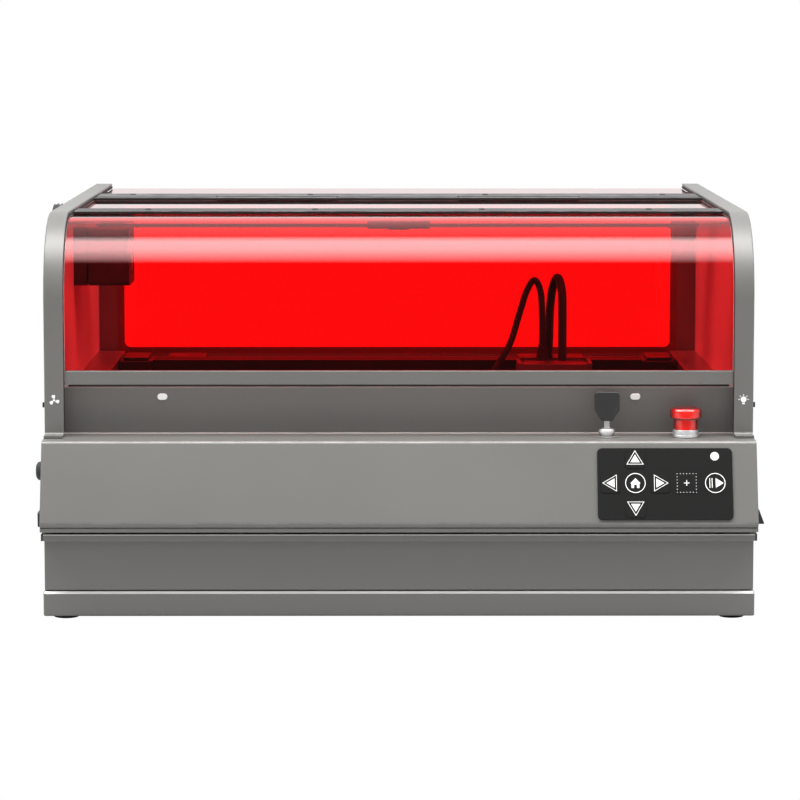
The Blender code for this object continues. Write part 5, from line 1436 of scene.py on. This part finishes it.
def make_beam():
    """Beam with a square slot along the middle of each side, and the blocks at its ends."""
    low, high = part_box("gantry_beam")
    corners = ((low.y, low.z), (high.y, low.z), (high.y, high.z), (low.y, high.z))
    shape = []
    for number, corner in enumerate(corners):
        after = np.array(corners[(number + 1) % 4])
        along = unit(after - corner)
        inward = np.array([-along[1], along[0]])
        shape.append((*corner, BEND / 2))
        shape += [tuple((after + corner) / 2 + SLOT * (a * along + b * inward))
                  for a, b in ((-1, 0), (-1, 1), (1, 1), (1, 0))]
    extruded("beam", outline(*shape), low.x, high.x, "black_aluminium", "gantry", "gantry_beam", rim=FINE_RIM)
    for node in ("gantry_block_left", "gantry_block_right"):
        low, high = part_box(node)
        step = high.z - 0.003
        parts = [box_part((low.x, high.x), (low.y, high.y), (low.z, step), 0.003, 0.0008),
                 box_part((low.x + 0.004, high.x - 0.004), (low.y + 0.006, high.y - 0.006), (step, high.z),
                          0.002, 0.0006)]
        parts += [screw((x, y, step), 'Z', 0.0018) for x in (low.x + 0.002, high.x - 0.002)
                  for y in (low.y + 0.003, high.y - 0.003)]
        add_piece(node + "_body", parts, "black_aluminium", "gantry", node, weld=True)


def make_motors():
    """A square motor between two flanges on the beam, and a long one that the shaft runs through."""
    low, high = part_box("x_motor")
    flange, shrink = 0.006, 0.0008
    parts = [box_part((low.x, high.x), (low.y, high.y), (low.z, low.z + flange), 0.003, 0.0006),
             box_part((low.x + shrink, high.x - shrink), (low.y + shrink, high.y - shrink),
                      (low.z + flange, high.z - flange), 0.004, 0.0),
             box_part((low.x, high.x), (low.y, high.y), (high.z - flange, high.z), 0.003, 0.0006)]
    parts += [screw((x, y, high.z - 0.0004), 'Z', 0.0016) for x in (low.x + 0.004, high.x - 0.004)
              for y in (low.y + 0.004, high.y - 0.004)]
    add_piece("x_motor_body", parts, "black_aluminium", "gantry", "x_motor", weld=True)
    low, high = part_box("y_motor")
    shaft = middle("y_motor")[1:]
    parts = []
    for x, less in (((low.x, low.x + MOTOR_END), 0.0), ((low.x + MOTOR_END, high.x - MOTOR_END), shrink),
                    ((high.x - MOTOR_END, high.x), 0.0)):
        square = rectangle((low.y + less, low.z + less), (high.y - less, high.z - less), 0.004)
        parts.append(pierced(square, shaft, SHAFT_R + 2 * TOUCH, x))
    add_piece("y_motor_body", parts, "black_aluminium", "casing", "y_motor")


def make_drive():
    """The shaft with a grooved pulley near each end, and the belts round them."""
    _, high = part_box("y_drive_shaft")
    _, y, z = middle("y_drive_shaft")
    centre = middle("gantry_beam")[0]
    end = high.x - centre
    groove = span("gantry_block_right", 0)[0] - centre + BELT_OUT
    waist = PULLEY_R * 0.86
    half = [(SHAFT_R, end), (SHAFT_R, groove + 0.004), (PULLEY_R, groove + 0.004), (PULLEY_R, groove + 0.003),
            (waist, groove + 0.0028), (waist, groove - 0.0028), (PULLEY_R, groove - 0.003),
            (PULLEY_R, groove - 0.004), (SHAFT_R, groove - 0.004)]
    shape = [(0, end)] + half + [(r, -h) for r, h in half[::-1]] + [(0, -end)]
    turned("drive_shaft_rod", shape, (centre, y, z), "steel", "drive_shaft", "y_drive_shaft", axis='X',
           steps=32)
    front = span("y_rail_left", 1)[0] + 0.02
    reach = BELT_BEND + 0.0002
    path = outline((front, z + reach, BELT_BEND), (y, z + reach), (y, z - reach),
                   (front, z - reach, BELT_BEND))
    belts = [skin(belt_rings(path, x - BELT_HALF, x + BELT_HALF), loop=True)
             for x in (centre - groove, centre + groove)]
    add_piece("drive_belts", belts, "rubber", "casing", extra="belt_rubber")


def belt_rings(path, low, high):
    """A flat band that follows a closed outline."""
    inner = inset(path, BELT_T)
    stack = [(path, low), (path, high), (inner, high), (inner, low)]
    return np.array([np.column_stack([np.full(len(s), x), s[:, 0], s[:, 1], 0 * s[:, 0]]) for s, x in stack])


def make_laser():
    """Laser module: a finned heat sink over an optics block with an air nozzle, a recessed top with
    chamfered corners, its slide and the cable clip."""
    low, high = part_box("laser_module")
    right, left = high.x, high.x - HEAD_W
    back = low.y + HEAD_D
    x = (left + right) / 2
    y = (low.y + back) / 2
    top, bottom = high.z, high.z - HEAD_H
    optics = bottom + 0.022
    body = [box_part((left + 0.004, right - 0.004), (low.y + 0.003, back - 0.003), (bottom, optics),
                     0.004, 0.0012)]
    for at in np.linspace(left + 0.0012, right - 0.0012 - FIN_T, FINS):
        body.append(box_part((at, at + FIN_T), (low.y, back), (optics + 0.001, top - 0.012), 0.0004, 0.0003))
    body.append(box_part((left + 0.003, right - 0.003), (low.y + 0.005, back - 0.005), (optics, top - 0.011),
                         0.002, 0.0))
    cut = 0.006
    rim_shape = outline((left + cut, low.y, RIM), (right - cut, low.y, RIM), (right, low.y + cut, RIM),
                        (right, back - cut, RIM), (right - cut, back, RIM), (left + cut, back, RIM),
                        (left, back - cut, RIM), (left, low.y + cut, RIM))
    well = inset(rim_shape, 0.003)
    levels = [(rim_shape, top - 0.011), (rim_shape, top - FINE_RIM), (inset(rim_shape, FINE_RIM), top),
              (well, top), (well, top - 0.0022)]
    rings = [np.column_stack([face[:, :2], np.full(len(face), z), 0 * face[:, 0]]) for face, z in levels]
    body.append(skin(np.array(rings)))
    body += [screw((x + across, y + along, top - 0.0022), 'Z', 0.0019) for across in (-0.024, 0.024)
             for along in (-0.020, 0.020)]
    slide = span("carriage_plate", 1)[0] - TOUCH
    body.append(box_part((x - 0.018, x + 0.018), (back - 0.002, slide), (bottom + 0.012, top - 0.012),
                         0.002, RIM))
    body.append(box_part((low.x, left + 0.002), (low.y + 0.021, low.y + 0.041),
                         (optics + 0.013, optics + 0.015), RIM))
    nozzle = ((0, bottom + 0.001), (0.014, bottom + 0.001), (0.014, bottom - 0.002, RIM),
              (0.0095, bottom - 0.0035, RIM), (0.0085, bottom - 0.008, RIM), (0.005, low.z, FINE_RIM),
              (0, low.z))
    body.append(part_of_lathe(nozzle, (x, y, 0), 'Z', 48))
    add_piece("laser_body", body, "aluminium", "head", "laser_module", weld=True, extra="dark_anodised")


def make_carriage():
    """Upright plate with a folded top that hooks over the beam."""
    low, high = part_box("carriage_plate")
    face = low.y + 0.006
    parts = [box_part((low.x, high.x), (low.y, face), (low.z, high.z - 0.0025), 0.003, RIM, 'Y'),
             box_part((low.x, high.x), (low.y, high.y), (high.z - 0.002, high.z), 0.002, RIM),
             box_part((low.x, high.x), (low.y, low.y + 0.003), (high.z - 0.006, high.z), RIM, RIM)]
    add_piece("carriage_body", parts, "black_aluminium", "carriage", "carriage_plate")


def make_camera_pod():
    """Rounded pod under the hood with a ringed lens."""
    low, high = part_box("lid_camera")
    middle_x, middle_y, _ = middle("lid_camera")
    parts = [box_part((low.x, high.x), (low.y, high.y), (low.z + 0.001, high.z), 0.004, 0.001)]
    ring = ((0, low.z + 0.0018), (0.0085, low.z + 0.0018), (0.0085, low.z, FINE_RIM),
            (0.0065, low.z, FINE_RIM), (0.006, low.z + 0.0012), (0, low.z + 0.0008))
    parts.append(part_of_lathe(ring, (middle_x, middle_y, 0), 'Z', 40))
    add_piece("camera_pod", parts, "black_plastic", "hood", "lid_camera", weld=True)


def make_leads():
    """The harness's ribbed boot, the harness as a corrugated tube and the hose as a plain one, along
    smooth loops."""
    boot_low, boot_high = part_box("cable_boot")
    x, y, _ = middle("cable_boot")
    base, height = boot_low.z, boot_high.z - boot_low.z
    wide = (boot_high.x - boot_low.x) / 2
    shape = [(0, height), (wide * 0.6, height, FINE_RIM)]
    for k in np.linspace(0, 1, BOOT_RIBS):
        at, r = height * (0.9 - 0.62 * k), wide * (0.62 + 0.3 * k)
        shape += [(r * 0.86, at + 0.0006), (r, at + 0.0004), (r, at - 0.0004), (r * 0.86, at - 0.0006)]
    shape += [(wide, height * 0.18, FINE_RIM), (wide, 0), (0, 0)]
    turned("boot", shape, (x, y, base), "rubber", "head", "cable_boot", steps=40)
    low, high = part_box("laser_harness")
    clip = low.x + HARNESS_R
    arch = high.z - HARNESS_R
    top = boot_high.z + TOUCH
    route = [(clip, low.z), (clip, low.z + 0.014), (clip + 0.009, low.z + 0.035),
             (clip + 0.022, low.z + 0.058), (clip + 0.0295, low.z + 0.082),
             (clip + 0.037, arch - 0.0105), (clip + 0.044, arch),
             (x - 0.0015, arch - 0.0125), (x, arch - 0.0385), (x, top)]
    path = smooth_route([(px, y, pz) for px, pz in route], 120)
    path[:, 2] = np.minimum(path[:, 2], arch)
    add_piece("harness", [skin(sleeved(path, HARNESS_R))], "cable_black", "head", "laser_harness")
    low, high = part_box("air_hose")
    front, rear = low.y + HOSE_R, high.y - HOSE_R
    arch = high.z - HOSE_R
    left, right = low.x + HOSE_R, high.x - HOSE_R
    route = [(left, rear, low.z), (left + 0.0005, rear, low.z + 0.0197),
             (left + 0.0013, rear, low.z + 0.0447), (left + 0.0035, rear - 0.003, arch - 0.0105),
             (left + 0.0075, (front + rear) / 2, arch),
             (right - 0.0005, front + 0.003, arch - 0.0125), (right, front, arch - 0.0355),
             (right, front, low.z + 0.0197), (right, front, low.z)]
    path = smooth_route(route, 130)
    path[:, 2] = np.minimum(path[:, 2], arch)
    add_piece("hose", [skin(tube_rings(path, HOSE_R, 20))], "cable_black", "head", "air_hose")


def sleeved(path, radius):
    """Rings of a tube with fine corrugations: its radius dips by 6 % between ribs."""
    fine = smooth_route(path, 420)
    along = np.arange(len(fine))
    return tube_rings(fine, radius * (0.97 + 0.03 * np.cos(along * np.pi / 2)), 16)


# ---- fan and electronics ------------------------------------------------------------------------
def make_fan_frame():
    """Two square plates with a round opening, the neck between them, and the wire guards."""
    low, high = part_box("fan_frame")
    hub = joint_at("fan_spin")
    half = (high.y - low.y) / 2
    bore = half - 0.002
    square = rectangle((hub[1] - half, hub[2] - half), (hub[1] + half, hub[2] + half), 0.004)
    waist = low.x + (high.x - low.x) * 0.25
    parts = [pierced(square, hub[1:], bore, x) for x in ((low.x, waist - 0.0008), (waist + 0.0008, high.x))]
    neck = ((bore, waist - 0.001), (bore + 0.0015, waist - 0.001), (bore + 0.0015, waist + 0.001),
            (bore, waist + 0.001))
    parts.append(part_of_lathe(neck, (0, hub[1], hub[2]), 'X', 48, loop=True))
    add_piece("fan_shroud", parts, "black_plastic", "casing", "fan_frame")
    wires = []
    outer, inner = high.x - 0.0002, high.x - 0.0012
    for radius in (0.009, 0.0155, 0.022):
        ring = ((radius, inner), (radius + 0.0011, inner), (radius + 0.0011, outer), (radius, outer))
        wires.append(part_of_lathe(ring, (0, hub[1], hub[2]), 'X', 48, loop=True))
    for at in (low.x + 0.002, high.x - 0.0022):
        for wide, tall in ((bore, 0.0011), (0.0011, bore)):
            wires.append(box_part((at, at + 0.0012), (hub[1] - wide, hub[1] + wide),
                                  (hub[2] - tall, hub[2] + tall)))
    boss = ((0, low.x + 0.001), (0.012, low.x + 0.001, RIM), (0.012, low.x + 0.0035, RIM),
            (0, low.x + 0.0035))
    wires.append(part_of_lathe(boss, (0, hub[1], hub[2]), 'X', 32))
    add_piece("fan_guard", wires, "black_plastic", "casing", extra="steel", weld=True)


def blade_section(r, middle_x):
    """Closed section of a blade at radius r: a thin lens turned by a pitch that falls with r, as pairs
    of X and distance round the hub."""
    pitch = math.radians(52 - 900 * (r - HUB_R))
    lens = np.array([(-1, -0.06), (-0.4, -0.09), (0.4, -0.09), (1, -0.03), (1, 0.03), (0.4, 0.05),
                     (-0.4, 0.05), (-1, 0.06)]) * (0.0082, 0.009)
    along, thick = lens.T
    return (middle_x + along * math.cos(pitch) - thick * math.sin(pitch),
            along * math.sin(pitch) + thick * math.cos(pitch))


def make_fan_rotor():
    """A turned hub and blades. A blade's sections stand round the hub at (r cos u, r sin u), where u
    grows with the radius and with the distance round the hub over r."""
    low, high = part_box("fan_rotor")
    hub = joint_at("fan_spin")
    cap = ((0, low.x), (0.0138, low.x, 0.001), (0.0138, high.x, 0.002), (0, high.x))
    parts = [part_of_lathe(cap, (0, hub[1], hub[2]), 'X', 40)]
    for k in range(FAN_BLADES):
        rings = []
        for r in np.linspace(HUB_R, BLADE_R, 7):
            x, round_hub = blade_section(r, (low.x + high.x) / 2)
            u = 2 * math.pi * k / FAN_BLADES + (r - HUB_R) * 14 + round_hub / r
            rings.append(np.column_stack([x, hub[1] + r * np.cos(u), hub[2] + r * np.sin(u)]))
        parts.append(skin(np.array(rings)))
    add_piece("fan_wheel", parts, "black_plastic", "rotor", "fan_rotor", weld=True)


def make_collar():
    """A turned spigot with three ribs that hold a hose."""
    low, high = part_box("exhaust_collar")
    outer = (high.y - low.y) / 2
    inner, dip = outer - COLLAR_WALL, outer - COLLAR_DIP
    shape = [(inner, high.x), (outer, high.x, RIM)]
    for at in (0.62, 0.42, 0.22):
        x = low.x + (high.x - low.x) * at
        shape += [(dip, x + 0.0014), (dip, x + 0.0009), (outer, x, RIM), (outer, x - 0.0003, RIM),
                  (dip, x - 0.0008)]
    shape += [(outer - 0.0006, low.x, RIM), (inner, low.x, RIM)]
    turned("collar_spigot", shape, (0, *middle("exhaust_collar")[1:]), "black_plastic", "casing",
           "exhaust_collar", axis='X', steps=72, loop=True)


def make_power_supply():
    """Case with a row of raised louvres."""
    low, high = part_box("power_supply")
    parts = [box_part((low.x, high.x), (low.y, high.y), (low.z, high.z - PRINT * 4), BEND, RIM)]
    for x in np.linspace(low.x + 0.008, high.x - 0.008, SUPPLY_SLOTS):
        parts.append(box_part((x - 0.001, x + 0.001), (low.y + 0.01, high.y - 0.01),
                              (high.z - RIM, high.z - PRINT), RIM, PRINT))
    add_piece("supply_case", parts, "aluminium", "casing", "power_supply")


def make_control_board():
    """Board on four posts, with chips, connectors and capacitors."""
    low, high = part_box("control_board")
    board = low.z + BOARD_UP
    top = board + BOARD_T
    add_piece("board", [box_part((low.x, high.x), (low.y, high.y), (board, top), 0.002, PRINT)],
              "circuit_board", "casing", "control_board")
    chips = [box_part((low.x + 0.04, low.x + 0.06), (low.y + 0.014, low.y + 0.034), (top, top + 0.0032), RIM),
             box_part((low.x + 0.012, low.x + 0.024), (low.y + 0.01, low.y + 0.02), (top, top + 0.002), RIM)]
    chips += [box_part((low.x + x, low.x + x + 0.0075), (low.y + 0.029, low.y + 0.039),
                       (top, top + 0.0088), FINE_RIM) for x in (0.077, 0.086, 0.095, 0.104)]
    can = ((0, top), (0.0035, top), (0.0035, top + 0.0079, RIM), (0, top + 0.0079))
    chips += [part_of_lathe(can, (low.x + x, low.y + 0.008, 0), 'Z', 20) for x in (0.04, 0.05, 0.06)]
    add_piece("board_parts", chips, "circuit_board", "casing", extra="black_plastic", weld=True)
    post = ((0, low.z), (0.002, low.z), (0.002, board), (0, board))
    posts = [part_of_lathe(post, (x, y, 0), 'Z', 16) for x in (low.x + 0.004, high.x - 0.004)
             for y in (low.y + 0.004, high.y - 0.004)]
    add_piece("board_posts", posts, "circuit_board", "casing", extra="steel", weld=True)


def dress_cad_nodes():
    """Gives every node of the frame the finish of its slot."""
    slots = {row["node"]: row["material_slot"] for row in frame["record"]["subparts"]}
    for node, item in frame["nodes"].items():
        item.data.materials.clear()
        item.data.materials.append(finish(slots[node]))


def make_machine():
    """Every piece, from the casing inwards."""
    make_console()
    make_side_panel(-1)
    make_side_panel(1)
    make_front_wall()
    make_drawer_front()
    make_base_pan()
    make_rear()
    make_hood()
    make_hinge()
    make_keys()
    make_keypad()
    make_stop_button()
    make_key()
    make_lenses()
    make_signs()
    make_switches()
    make_air_knob()
    make_inlet()
    make_tray()
    make_runners()
    make_bed()
    make_rails()
    make_beam()
    make_motors()
    make_drive()
    make_laser()
    make_carriage()
    make_camera_pod()
    make_leads()
    make_fan_frame()
    make_fan_rotor()
    make_collar()
    make_power_supply()
    make_control_board()


make_camera()
make_studio()
dress_cad_nodes()
make_machine()
